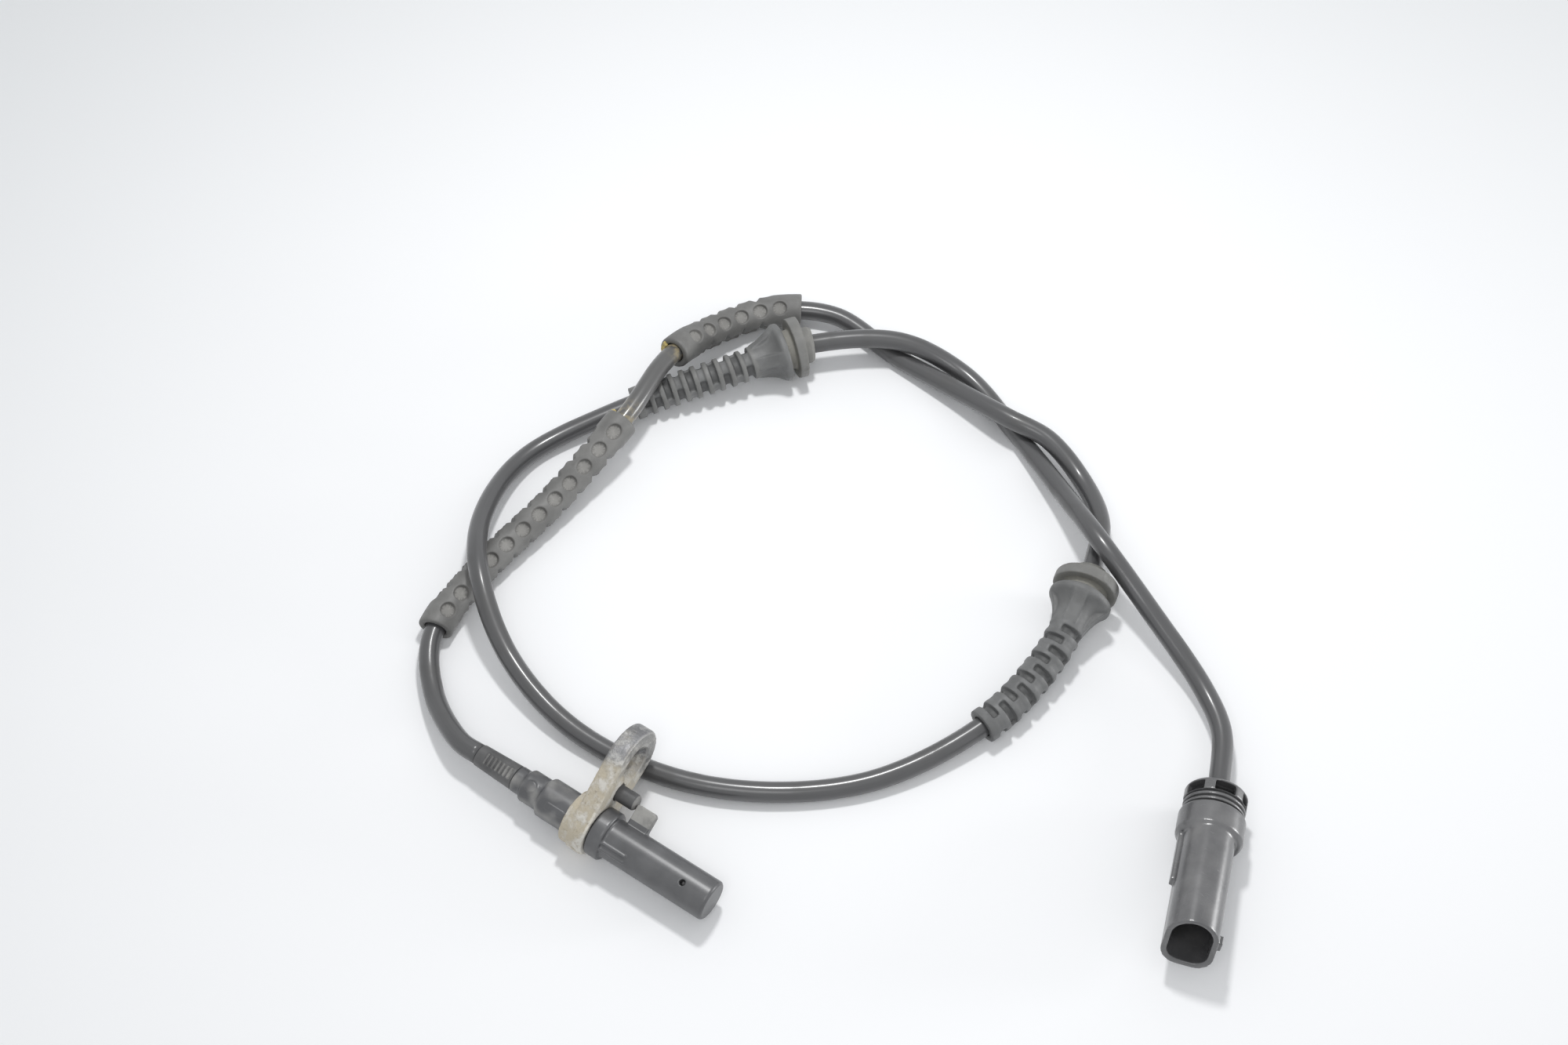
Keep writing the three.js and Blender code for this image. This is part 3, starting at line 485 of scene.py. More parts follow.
def moulded(name, forms, voxel, rounds, holes=()):
    """One closed piece in millimetres from forms that overlap, with holes cut through it."""
    piece = object_of(name, joined(forms))
    voxels(piece, voxel, 0)
    if holes:
        tool = object_of(name + "_holes", joined(holes))
        voxels(tool, voxel, 0)
        cut = piece.modifiers.new("holes", "BOOLEAN")
        cut.operation = "DIFFERENCE"
        cut.solver = "EXACT"
        cut.object = tool
        settle(piece)
        bpy.data.objects.remove(tool)
    voxels(piece, voxel, rounds)
    return piece


def seated(piece, place, swell=None):
    """Moves a piece's points to their place and scales it to metres.

    The points are first raised along their normals by what swell gives in millimetres.
    """
    mesh = piece.data
    if swell:
        normals = [vertex.normal.copy() for vertex in mesh.vertices]
        for vertex, normal in zip(mesh.vertices, normals):
            vertex.co += normal * swell(vertex.co)
    for vertex in mesh.vertices:
        vertex.co = place(vertex.co) * MM
    mesh.update()
    mesh.shade_smooth()
    return piece


def marked(piece, name, value):
    """Stores a number for each point of a piece, worked out from its place before it is seated."""
    attribute = piece.data.attributes.new(name, "FLOAT", "POINT")
    for vertex, entry in zip(piece.data.vertices, attribute.data):
        entry.value = value(vertex.co)


def dressed(piece, finish, nodes):
    """Gives a piece its finish, its body and the CAD nodes that it stands for."""
    piece.data.materials.clear()
    piece.data.materials.append(finish)
    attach(piece, BODY)
    if nodes:
        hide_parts(*nodes)
    return piece


class Signal:
    """A shader socket whose operators add Math nodes."""

    def __init__(self, graph, socket):
        self.graph = graph
        self.socket = socket

    def _math(self, operation, *values):
        return self.graph.node("ShaderNodeMath", {"operation": operation}, dict(enumerate(values)))

    def __add__(self, other):
        return self._math("ADD", self, other)

    def __radd__(self, other):
        return self._math("ADD", other, self)

    def __sub__(self, other):
        return self._math("SUBTRACT", self, other)

    def __rsub__(self, other):
        return self._math("SUBTRACT", other, self)

    def __mul__(self, other):
        return self._math("MULTIPLY", self, other)

    def __rmul__(self, other):
        return self._math("MULTIPLY", other, self)

class Graph:
    """The nodes of one material, or of the world."""

    def __init__(self, name, **fixed):
        self.material = bpy.data.materials.new(name)
        self.take(self.material, "Principled BSDF")
        for socket, value in fixed.items():
            self.shader.inputs[socket.replace("_", " ").title().replace("Ior", "IOR")].default_value = value

    def take(self, holder, shader):
        """Works on the nodes of a material or a world, and on its shader."""
        holder.use_nodes = True
        self.tree = holder.node_tree
        self.shader = self.tree.nodes[shader]

    def node(self, kind, settings=None, inputs=None, output=0):
        """A node of a kind with its settings, and the values or links of its sockets."""
        made = self.tree.nodes.new(kind)
        for key, value in (settings or {}).items():
            setattr(made, key, value)
        for key, value in (inputs or {}).items():
            if isinstance(value, Signal):
                self.tree.links.new(value.socket, made.inputs[key])
            else:
                made.inputs[key].default_value = value
        return Signal(self, made.outputs[output])

    def place(self, stretch=(1, 1, 1)):
        """The object's own coordinates in millimetres, stretched along each axis."""
        here = self.node("ShaderNodeTexCoord", output="Object")
        scale = [s / MM for s in stretch]
        return self.node("ShaderNodeVectorMath", {"operation": "MULTIPLY"}, {0: here, 1: scale})

    def marks(self, name):
        """A number that is stored on the points."""
        return self.node("ShaderNodeAttribute", {"attribute_name": name}, output="Fac")

    def cloud(self, size, detail=4.0, roughness=0.55, vector=None):
        """Cloudy noise with features of a size in millimetres."""
        inputs = {"Vector": vector or self.place(), "Scale": 1 / size}
        inputs.update({"Detail": detail, "Roughness": roughness})
        return self.node("ShaderNodeTexNoise", None, inputs, "Fac")

    def between(self, value, low, high):
        """0 below low and 1 above high, with a smooth step between."""
        settings = {"interpolation_type": "SMOOTHSTEP"}
        inputs = {"Value": value, "From Min": low, "From Max": high}
        return self.node("ShaderNodeMapRange", settings, inputs, "Result")

    def mix(self, factor, first, second):
        """One colour over another."""
        opaque = [(*c, 1) if isinstance(c, (tuple, list)) and len(c) == 3 else c for c in (first, second)]
        inputs = {0: factor, 6: opaque[0], 7: opaque[1]}
        return self.node("ShaderNodeMix", {"data_type": "RGBA"}, inputs, 2)

    def feed(self, socket, value):
        """Links a value to one of the shader's sockets."""
        self.tree.links.new(value.socket, self.shader.inputs[socket])

    def surface(self, tint, roughness, height, distance):
        """The material with its colour, its roughness and a bump of a distance in millimetres."""
        inputs = {"Height": height, "Distance": distance * MM}
        self.feed("Base Color", tint)
        self.feed("Roughness", roughness)
        self.feed("Normal", self.node("ShaderNodeBump", None, inputs, "Normal"))
        return self.material


class WorldGraph(Graph):
    """The nodes of the world."""

    def __init__(self, world):
        self.take(world, "Background")


def shade(base, factor):
    """A colour made lighter or darker."""
    return tuple(min(1.0, channel * factor) for channel in base)


def jacket_finish(base):
    """Glossy black jacket with handling marks and a brown stain between the sleeves."""
    graph = Graph("jacket", coat_roughness=0.18)
    along = graph.marks("along")
    around = graph.marks("around")
    flat = graph.node("ShaderNodeCombineXYZ", None, {"X": along * 0.08, "Y": around, "Z": 0.0})
    streaks = graph.cloud(0.9, 4.0, vector=flat)
    smears = graph.between(graph.cloud(9.0, 3.0), 0.48, 0.72)
    dust = graph.between(graph.cloud(0.5, 6.0, 0.7), 0.66, 0.8)
    # Distances along the cable at which the stretch between the two sleeves starts and ends
    first, last = 124.0, 154.0
    bare = graph.between(along, first - 2, first + 3) * graph.between(along, last + 4, last - 1)
    ends = graph.between(along, first + 9, first) + graph.between(along, last - 5, last)
    stain = bare * ends * graph.between(graph.cloud(2.2, 4.0), 0.4, 0.62)
    tint = graph.mix(streaks, shade(base, 0.8), shade(base, 1.25))
    tint = graph.mix(smears * 0.35, tint, (0.07, 0.069, 0.066))
    tint = graph.mix(dust * 0.12, tint, (0.3, 0.29, 0.27))
    tint = graph.mix(bare * 0.3, tint, (0.13, 0.128, 0.12))
    tint = graph.mix(stain * 0.75, tint, (0.34, 0.28, 0.16))
    graph.feed("Coat Weight", 0.6 - smears * 0.3)
    roughness = 0.34 + smears * 0.12 + dust * 0.15 + stain * 0.2
    return graph.surface(tint, roughness, streaks * 0.5 + dust * 0.5, 0.01)


def rubber_finish(name, base, dirt):
    """Matte grey rubber, dusty in its recesses, with painted shade where the hollow mark is set."""
    graph = Graph(name)
    pits = graph.marks("pits")
    grain = graph.cloud(0.22, 5.0, 0.65)
    patches = graph.between(graph.cloud(6.0, 4.0), 0.35, 0.7)
    chalk = graph.between(graph.cloud(1.1, 6.0, 0.7), 0.5, 0.75)
    tint = graph.mix(patches, shade(base, 0.85), shade(base, 1.2))
    tint = graph.mix(grain * 0.25, tint, shade(base, 1.7))
    tint = graph.mix(pits * (0.45 + chalk * 0.4), tint, dirt)
    # Painted shade: darkened in the dimples' walls and in the grommets' windows, where shade falls
    tint = graph.mix(graph.marks("hollow") * 0.7, tint, shade(base, 0.3))
    roughness = 0.55 + chalk * 0.15 + pits * 0.12 - patches * 0.08
    return graph.surface(tint, roughness, grain + chalk * 0.6, 0.03)


def plastic_finish(name, base, rough, dust_and_sheen_amount, shine=0.5):
    """Satin moulded plastic with fine grain, scuffs, and a pale mix that is dust in some places and a
    painted highlight in others.
    """
    graph = Graph(name, specular_ior_level=shine)
    grain = graph.cloud(0.12, 3.0, 0.6)
    clouding = graph.between(graph.cloud(7.0, 4.0), 0.3, 0.7)
    scuffs = graph.between(graph.cloud(1.6, 8.0, 0.75, graph.place((0.25, 1.4, 1.4))), 0.6, 0.75)
    dust_and_sheen = graph.marks("dust_and_sheen")
    tint = graph.mix(clouding, shade(base, 0.85), shade(base, 1.18))
    tint = graph.mix(scuffs * 0.22, tint, shade(base, 2.6))
    # Pale mix from the mark: real dust behind the flange and on the plug, painted highlight on the probe's
    # key and the neck's ridges
    tint = graph.mix(dust_and_sheen * (0.3 + clouding * 0.7) * dust_and_sheen_amount, tint, (0.34, 0.335, 0.32))
    roughness = rough + scuffs * 0.14 + dust_and_sheen * 0.3 + grain * 0.06
    return graph.surface(tint, roughness, grain * 0.5 + scuffs * 0.5, 0.02)


def flange_finish(steel, tan):
    """Steel that is bare at the eye, tan over its rim and crusted white round the probe."""
    graph = Graph("flange_steel")
    up = graph.marks("eyeward")
    front = graph.marks("front")
    broad = graph.cloud(5.0, 5.0, 0.6)
    fine = graph.cloud(0.8, 7.0, 0.7)
    crust = graph.between(graph.cloud(3.6, 6.0, 0.6) + fine * 0.3, 0.58, 0.82)
    aged = graph.between(broad - up * 0.75 + 0.3, 0.05, 0.6)
    rust = graph.between(graph.cloud(1.5, 7.0, 0.7), 0.58, 0.7)
    tint = graph.mix(fine, shade(steel, 0.6), shade(steel, 1.25))
    tint = graph.mix(aged, tint, graph.mix(fine, shade(tan, 0.78), shade(tan, 1.22)))
    tint = graph.mix(rust * aged * 0.75, tint, (0.2, 0.13, 0.07))
    tint = graph.mix(crust * (0.45 + aged * 0.25), tint, (0.72, 0.71, 0.68))
    tint = graph.mix(front * 0.7, tint, (0.74, 0.72, 0.66))
    graph.feed("Metallic", 0.85 - aged * 0.75 - crust * 0.1)
    roughness = 0.42 + aged * 0.34 + crust * 0.12
    return graph.surface(tint, roughness, fine * 0.7 + crust * 0.8 + rust * 0.4, 0.16)


def glue_finish(base):
    """Aged yellow glue with dust on it."""
    graph = Graph("aged_glue")
    dust = graph.cloud(0.6, 5.0)
    tint = graph.mix(dust, shade(base, 0.6), shade(base, 1.15))
    return graph.surface(tint, 0.35 + dust * 0.3, dust, 0.08)


def contact_finish():
    """Brass with dull patches."""
    graph = Graph("contact_brass")
    dull = graph.between(graph.cloud(0.7, 5.0), 0.4, 0.7)
    graph.feed("Metallic", 1.0 - dull * 0.25)
    tint = graph.mix(dull, (0.78, 0.62, 0.3), (0.5, 0.4, 0.2))
    return graph.surface(tint, 0.22 + dull * 0.3, dull, 0.02)


def inner_finish(name, base, roughness):
    """A plain hidden piece with faint mottling."""
    graph = Graph(name)
    mottle = graph.cloud(0.9, 4.0)
    tint = graph.mix(mottle, shade(base, 0.8), shade(base, 1.2))
    return graph.surface(tint, roughness + mottle * 0.15, mottle, 0.02)


def floor_finish():
    """White paper with a painted fall-off of light: a little cooler and darker away from its middle."""
    graph = Graph("white_paper", roughness=0.75)
    centre = (0.04, 0.06, 0)
    near, far = 0.12, 0.55
    here = graph.node("ShaderNodeTexCoord", output="Object")
    offset = graph.node("ShaderNodeVectorMath", {"operation": "SUBTRACT"}, {0: here, 1: centre})
    reach = graph.node("ShaderNodeVectorMath", {"operation": "LENGTH"}, {0: offset}, "Value")
    # Painted light fall-off: darker and cooler away from the middle
    away = graph.between(reach, near, far)
    graph.feed("Base Color", graph.mix(away, (0.965, 0.972, 0.985), (0.92, 0.94, 0.95)))
    return graph.material


def noise_at(point, size, seed=0.0):
    """Smooth noise between about -1 and 1 with features of a size in millimetres."""
    return noise.noise(Vector(point) / size + Vector((seed, seed, seed)))


def clamped(value):
    """A value kept between 0 and 1."""
    return min(1.0, max(0.0, value))


def off_axis(point):
    """A point's distance from the X axis."""
    return math.hypot(point.y, point.z)


class SENSOR_OT_stage(bpy.types.Operator):
    """Make the floor, the light and the camera"""

    bl_idname = "sensor.stage"
    bl_label = "Stage"

    def execute(self, context):
        studio = context.scene.sensor_studio
        self.floor()
        self.sky(studio)
        self.lamps(studio)
        self.camera(studio)
        context.scene.view_settings.view_transform = "Standard"
        return {"FINISHED"}

    def floor(self):
        """A wide sheet that the sensor lies on."""
        half = 2.5
        form = bmesh.new()
        bmesh.ops.create_grid(form, x_segments=1, y_segments=1, size=half)
        floor = object_of("floor", form)
        floor.data.materials.append(floor_finish())

    def sky(self, studio):
        """Even light from all round, and white to the camera and in reflections."""
        world = bpy.data.worlds.new("even_light")
        bpy.context.scene.world = world
        graph = WorldGraph(world)
        graph.shader.inputs["Color"].default_value = (0.97, 0.985, 1.0, 1)
        seen = graph.node("ShaderNodeLightPath", output="Is Camera Ray")
        mirrored = graph.node("ShaderNodeLightPath", output="Is Glossy Ray")
        graph.feed("Strength", studio.sky + (seen + mirrored) * (1 - studio.sky))

    def lamps(self, studio):
        """A small lamp over the loop, a low one behind the plug and a broad one in front."""
        middle = Vector((0.02, 0.08, 0))
        # Each lamp's name, its place and size in metres, and its power
        specs = (
            ("overhead", Vector((-0.06, 0.18, 0.42)), 0.05, studio.key),
            ("side", Vector((0.62, 0.46, 0.1)), 0.22, studio.side),
            ("front", Vector((0.1, -0.18, 0.46)), 0.2, studio.front),
        )
        for name, place, size, power in specs:
            lamp = bpy.data.lights.new(name, "AREA")
            lamp.shape = "DISK"
            lamp.size = size
            lamp.energy = power
            holder = bpy.data.objects.new(name, lamp)
            holder.location = place
            holder.rotation_euler = (middle - place).to_track_quat("-Z", "Y").to_euler()
            bpy.context.scene.collection.objects.link(holder)

    def camera(self, studio):
        """The camera at the photograph's place."""
        lens = bpy.data.cameras.new("camera")
        lens.lens = studio.lens
        lens.sensor_width = 36
        lens.clip_start = 0.01
        camera = bpy.data.objects.new("camera", lens)
        camera.location = (studio.east, -studio.south, studio.height)
        camera.rotation_euler = (studio.tilt, 0, studio.turn)
        bpy.context.scene.collection.objects.link(camera)
        bpy.context.scene.camera = camera


class SENSOR_OT_cable(bpy.types.Operator):
    """Make the cable's jacket and the ridged neck behind the probe"""

    bl_idname = "sensor.cable"
    bl_label = "Cable"

    def execute(self, context):
        sizes = in_mm(context.scene.sensor_cable)
        colours = context.scene.sensor_colours
        self.jacket(sizes.radius, jacket_finish(colours.jacket))
        self.neck(sizes, in_mm(context.scene.sensor_probe).rear_length, shade(colours.jacket, 1.1))
        return {"FINISHED"}

    def jacket(self, radius, finish):
        """The round jacket, swept along the route."""
        step, segments = 1.6, 36
        rings = math.ceil(LINE.length / step)
        profile = [(i * LINE.length / rings, radius) for i in range(rings + 1)]
        piece = object_of("cable_run", turned([(0, 0), *profile, (LINE.length, 0)], segments))
        marked(piece, "along", lambda point: point.x)
        marked(piece, "around", lambda point: math.atan2(point.z, abs(point.y)) * radius)
        seated(piece, LINE.lay(0), lambda point: 0.02 * noise_at(point, 4.0))
        dressed(piece, finish, ["cable_jacket"])

    def neck(self, sizes, probe_end, base):
        """The tapered neck with fine ridges across its upper side."""
        front, rear = sizes.relief_front, sizes.relief_rear
        shoulder, longer, clearance = 0.12, 0.5, 0.05
        first, pitch, half_width, half_long, rise = 1.2, 1.25, 1.5, 0.3, 0.42
        inner = sizes.radius * 0.5
        end = -sizes.relief_length - longer
        forms = [turned([
            (end, inner), (end, rear - shoulder), (end + shoulder, rear),
            (-shoulder, front), (0, front - shoulder), (0, inner),
        ])]
        for i in range(sizes.ridges):
            x = -first - i * pitch
            crest = front + (front - rear) * x / -end + rise
            ridge = block((x - half_long, -half_width, 0), (x + half_long, half_width, crest))
            forms.append(rolled(ridge, CAMERA_SIDE - math.pi / 2))
        piece = moulded("neck_relief", forms, voxel=0.18, rounds=2)
        # Painted highlight: the ridges' crests are marked fully pale to stand in for the light lines they
        # catch, and the rest gets a little dust
        dust_and_sheen, clean = 1.0, 0.2
        marked(piece, "dust_and_sheen", lambda point: dust_and_sheen if off_axis(point) > front + 0.05 else clean)
        seat = HEAD_SEAT @ Matrix.Translation((-probe_end - clearance, 0, 0))
        seated(piece, lambda point: seat @ point)
        finish = plastic_finish("neck_rubber", base, rough=0.4, dust_and_sheen_amount=0.8)
        dressed(piece, finish, ["strain_relief"])


class SENSOR_OT_sleeves(bpy.types.Operator):
    """Make the two dimpled sleeves and the glue at their facing ends"""

    bl_idname = "sensor.sleeves"
    bl_label = "Sleeves"

    SIDE_STEPS = 12
    ROWS = 4
    QUARTER = math.pi / 2
    CHAMFER = 0.45

    def execute(self, context):
        self.sizes = sizes = in_mm(context.scene.sensor_sleeves)
        colours = context.scene.sensor_colours
        finish = rubber_finish("sleeve_rubber", colours.sleeve, (0.36, 0.35, 0.33))
        glue = glue_finish(colours.glue)
        cable = in_mm(context.scene.sensor_cable).radius
        # Each sleeve's name, start, cells and plain ends, and the way and the side its glue faces
        specs = (
            ("long", sizes.long_start, sizes.long_count, sizes.long_plain, 1, 0.2),
            ("short", sizes.short_start, sizes.short_count, sizes.short_plain, -1, math.pi + 0.15),
        )
        for name, start, count, plain, outward, side in specs:
            long = count * sizes.pitch + plain
            piece = self.sleeve(name, start, count, plain / 2, long, cable + 0.3)
            dressed(piece, finish, [name + "_sleeve"])
            end = start + long if outward > 0 else start
            dressed(self.bead(name, end, outward, cable, side), glue, [])
        return {"FINISHED"}

    def sleeve(self, name, start, count, plain, long, bore):
        """A sleeve whose four rows of cells each hold one round recess."""
        pitch = self.sizes.pitch
        form = bmesh.new()
        self.valleys = [plain + pitch / 2 + i * pitch for i in range(1, count - 1)]
        for row in range(self.ROWS):
            middle = SLEEVE_SIDE + row * self.QUARTER
            shift = pitch / 2 if row % 2 else 0
            last = plain + count * pitch
            for i in range(count - row % 2):
                self.cell(form, plain + shift + (i + 0.5) * pitch, middle)
            if shift:
                self.plain(form, plain, plain + shift, middle, self.SIDE_STEPS // 2)
                self.plain(form, last - shift, last, middle, self.SIDE_STEPS // 2)
            self.plain(form, self.CHAMFER, plain, middle, 3)
            self.plain(form, last, long - self.CHAMFER, middle, 3)
        self.end(form, 0.0, 1, bore)
        self.end(form, long, -1, bore)
        self.bore(form, long, bore)
        bmesh.ops.remove_doubles(form, verts=form.verts, dist=0.01)
        bmesh.ops.recalc_face_normals(form, faces=form.faces)
        piece = object_of("sleeve_" + name, form)
        marked(piece, "pits", lambda point: self.pit(point, plain, count, 0.0))
        # Painted shade on a thin band inside each recess's rim
        marked(piece, "hollow", lambda point: 0.6 * self.pit(point, plain, count, 0.3))
        return seated(piece, LINE.lay(start), lambda point: 0.025 * noise_at(point, 3.0))

    def pit(self, point, plain, count, inner):
        """1 inside the rim of a recess and 0 outside; inner leaves out all but a band of that width."""
        pitch, hole = self.sizes.pitch, self.sizes.dimple
        turn = math.atan2(point.z, point.y) - SLEEVE_SIDE
        row = round(turn / self.QUARTER)
        first = plain + pitch / 2 * (1 + row % 2)
        cell = min(max(round((point.x - first) / pitch), 0), count - 1 - row % 2)
        around = self.sizes.radius * (turn - row * self.QUARTER)
        reach = math.hypot(point.x - first - cell * pitch, around)
        if inner and reach < hole - inner:
            return 0.0
        return clamped((hole + 0.1 - reach) / 0.25)

    def outside(self, x, angle):
        """Radius of the sleeve's pads and of the notches between them in the two side rows."""
        radius = self.sizes.radius
        floor = radius - self.sizes.notch
        slope = 2 * self.sizes.notch / self.sizes.notch_width
        blend, soft = 14.0, 0.1
        total = math.exp(-blend * radius)
        away = min(abs(x - valley) for valley in self.valleys)
        for row in (1, 3):
            facing = math.cos(angle - SLEEVE_SIDE - row * self.QUARTER)
            if facing > 0.3:
                level = floor + slope * (math.hypot(away, soft) - soft)
                total += math.exp(-blend * level / facing)
        return min(radius, -math.log(total) / blend)

    def cell(self, form, x, middle):
        """A quarter of the sleeve's round, one pitch long, with a flat-bottomed recess."""
        radius, hole = self.sizes.radius, self.sizes.dimple
        lip = hole + 0.3
        half = (self.sizes.pitch / 2, radius * math.pi / 4)
        steps = self.SIDE_STEPS
        ticks = [-1 + 2 * i / steps for i in range(steps)]
        edge = [(t, -1) for t in ticks] + [(1, t) for t in ticks]
        edge += [(-t, 1) for t in ticks] + [(-1, -t) for t in ticks]
        edge = [(u * half[0], v * half[1]) for u, v in edge]
        flat = radius - self.sizes.depth
        # How far each ring lies from the edge to a circle, that circle's radius and how deep it is sunk
        levels = [(share, lip, 0) for share in (0, 0.16, 0.32, 0.48, 0.64, 0.82, 1)]
        levels += [
            (1, hole + 0.1, 0.04), (1, hole, 0.16), (1, hole - 0.06, 0.6),
            (1, hole - 0.12, 0.94), (1, hole - 0.3, 1), (1, hole * 0.45, 1),
        ]
        rings = []
        for share, size, sunk in levels:
            circle = []
            for u, v in edge:
                grow = size / math.hypot(u, v)
                along, across = u + (u * grow - u) * share, v + (v * grow - v) * share
                turn = across / radius
                top = self.outside(x + along, middle + turn)
                floor = flat / math.cos(turn)
                circle.append(spot(form, x + along, middle + turn, top + (floor - top) * sunk))
            rings.append(circle)
        rings.append([spot(form, x, middle, flat)] * len(edge))
        walls(form, rings)

    def plain(self, form, start, end, middle, steps):
        """A quarter of the sleeve's round without a recess."""
        side = self.SIDE_STEPS
        angles = [middle + math.pi / 4 * (-1 + 2 * i / side) for i in range(side + 1)]
        places = [start + (end - start) * k / steps for k in range(steps + 1)]
        walls(form, [[spot(form, x, a, self.outside(x, a)) for a in angles] for x in places], False)

    def end(self, form, x, inward, bore):
        """A rounded end face down to the bore."""
        radius = self.sizes.radius
        profile = [
            (self.CHAMFER, radius), (0.14, radius - 0.12), (0, radius - 0.42), (0, bore + 0.3), (0.2, bore),
        ]
        self.sweep(form, [(x + inward * away, r) for away, r in profile])

    def bore(self, form, long, bore):
        """The inside of the sleeve."""
        steps = math.ceil(long / 3)
        low, high = 0.2, long - 0.2
        self.sweep(form, [(low + (high - low) * i / steps, bore) for i in range(steps + 1)])

    def sweep(self, form, profile):
        """Rings of faces along a profile, with the cells' own corners round them."""
        count = self.SIDE_STEPS * self.ROWS
        angles = [SLEEVE_SIDE + math.pi / 4 + 2 * math.pi * i / count for i in range(count)]
        walls(form, [[spot(form, x, a, r) for a in angles] for x, r in profile])

    @staticmethod
    def bead(name, end, outward, cable, middle):
        """An uneven patch of glue on one side, where the cable enters a sleeve."""
        half, clearance, thick, sunk, proud = 0.75, 0.1, 1.5, 0.5, 0.7
        outline = sector(cable + clearance, cable + thick, middle, half)
        form = pushed(outline, -sunk, proud)
        piece = moulded("glue_" + name, [form], voxel=0.12, rounds=4)
        return seated(piece, LINE.lay(end, outward), lambda point: 0.22 * noise_at(point, 1.7, 3.0))


class SENSOR_OT_grommets(bpy.types.Operator):
    """Make the two slotted grommets"""

    bl_idname = "sensor.grommets"
    bl_label = "Grommets"

    def execute(self, context):
        sizes = in_mm(context.scene.sensor_grommets)
        bore = in_mm(context.scene.sensor_cable).radius + 0.25
        base = context.scene.sensor_colours.grommet
        finish = rubber_finish("grommet_rubber", base, (0.42, 0.4, 0.34))
        # Each grommet's name, start, way along the cable, turn in degrees, web radius and dust
        specs = (
            ("inner", sizes.inner_start, 1, 40, sizes.web, 0.16),
            ("outer", sizes.outer_start, -1, -12, sizes.ring - 0.12, 0.0),
        )
        for name, start, direction, degrees, web, dust in specs:
            piece, long = self.grommet("bend_grommet_" + name, sizes, bore, web, dust)
            tail = start if direction > 0 else start + long
            piece.data.transform(Matrix.Rotation(math.radians(degrees), 4, "X"))
            seated(piece, LINE.lay(tail, direction), lambda point: 0.03 * noise_at(point, 2.5, 5.0))
            dressed(piece, finish, ["grommet_" + name])
        return {"FINISHED"}

    def grommet(self, name, sizes, bore, web, dust):
        """A grommet laid straight along X from its tail, and its length."""
        overlap = 0.5
        bell = sizes.collar + sizes.rings * sizes.pitch
        rim = bell + sizes.bell
        groove = rim + sizes.rim_width
        disc = groove + sizes.groove_width
        hub = disc + sizes.disc_width
        lip = hub + sizes.hub_width
        long = lip + 0.8
        forms = [ring(0, sizes.collar, bore, sizes.ring)]
        for i in range(sizes.rings):
            slot = sizes.collar + i * sizes.pitch
            edge = slot + sizes.pitch - sizes.ring_width
            forms.append(ring(edge, edge + sizes.ring_width, bore, sizes.ring))
            forms.extend(self.webs(slot, edge, bore, web, math.pi / 2 * (i % 2)))
        forms += [
            ring(sizes.collar / 2, bell + 1, bore, sizes.sheath),
            self.bell(bell, rim, groove, bore, sizes.ring, sizes.rim),
            *self.gussets(bell, rim, sizes.ring, sizes.rim),
            ring(groove - overlap, disc + overlap, bore, sizes.groove),
            ring(disc, hub, bore, sizes.disc, 96),
            ring(hub - overlap, lip, bore, sizes.hub),
            ring(lip - overlap, long, bore, sizes.hub - 0.5),
            self.rim_mark((disc + hub) / 2, sizes.disc),
        ]
        piece = moulded(name, forms, voxel=0.25, rounds=1)
        floor, crest = sizes.sheath + 0.3, sizes.ring - 0.35

        def grime(point):
            """Pale dirt in the panel groove, at the hub and on the rings' crests."""
            if groove - 0.2 < point.x < disc + 0.2:
                return 0.9 if off_axis(point) < sizes.groove + 0.8 else 0.4
            if point.x > disc:
                return 0.2 + 0.25 * (point.x - disc) / (long - disc)
            return dust if point.x < bell and off_axis(point) > crest else 0.03

        marked(piece, "pits", grime)
        # Painted shade on the window floors between the rings
        marked(piece, "hollow", lambda point: 0.8 * (point.x < bell and off_axis(point) < floor))
        return piece, long

    @staticmethod
    def webs(start, end, bore, radius, turn):
        """Two webs on opposite sides that join one ring to the next."""
        half, overlap = math.radians(30), 0.3
        middles = [CAMERA_SIDE + turn + side + math.pi / 4 for side in (0, math.pi)]
        outlines = [sector(bore, radius, middle, half) for middle in middles]
        return [pushed(outline, start - overlap, end + overlap) for outline in outlines]

    @staticmethod
    def bell(start, rim, groove, bore, small, large):
        """The concave bell between the tail and its rim."""
        steps, edge, overlap = 14, 0.5, 0.4
        profile = [(start - overlap, bore), (start - overlap, small)]
        for i in range(steps + 1):
            share = i / steps
            radius = small + (large - edge - small) * (0.05 * share + 0.95 * share ** 5)
            profile.append((start + (rim - start) * share, radius))
        profile += [(rim + edge, large), (groove - edge, large), (groove, large - edge), (groove, bore)]
        return turned(profile, 96)

    @staticmethod
    def gussets(start, rim, small, large):
        """Four wide ribs that fill the bell's hollow flank."""
        half_width, sunk, steps = 1.9, 1.2, 12
        outline = [(start, small - sunk)]
        for i in range(steps + 1):
            share = i / steps
            rise = 0.5 * share + 0.4 * share ** 3
            outline.append((start + (rim - start) * share, small + (large - small) * rise))
        outline.append((rim, small - sunk))
        first = CAMERA_SIDE - math.radians(5)
        return [rolled(slab(outline, half_width), first + i * math.pi / 2) for i in range(4)]

    @staticmethod
    def rim_mark(x, radius):
        """A small raised circle on the disc's rim."""
        inner, outer, sunk, proud = 0.95, 1.3, 0.5, 0.22
        mark = ring(radius - sunk, radius + proud, inner, outer, 32)
        return upright(mark, x, CAMERA_SIDE + math.radians(28))


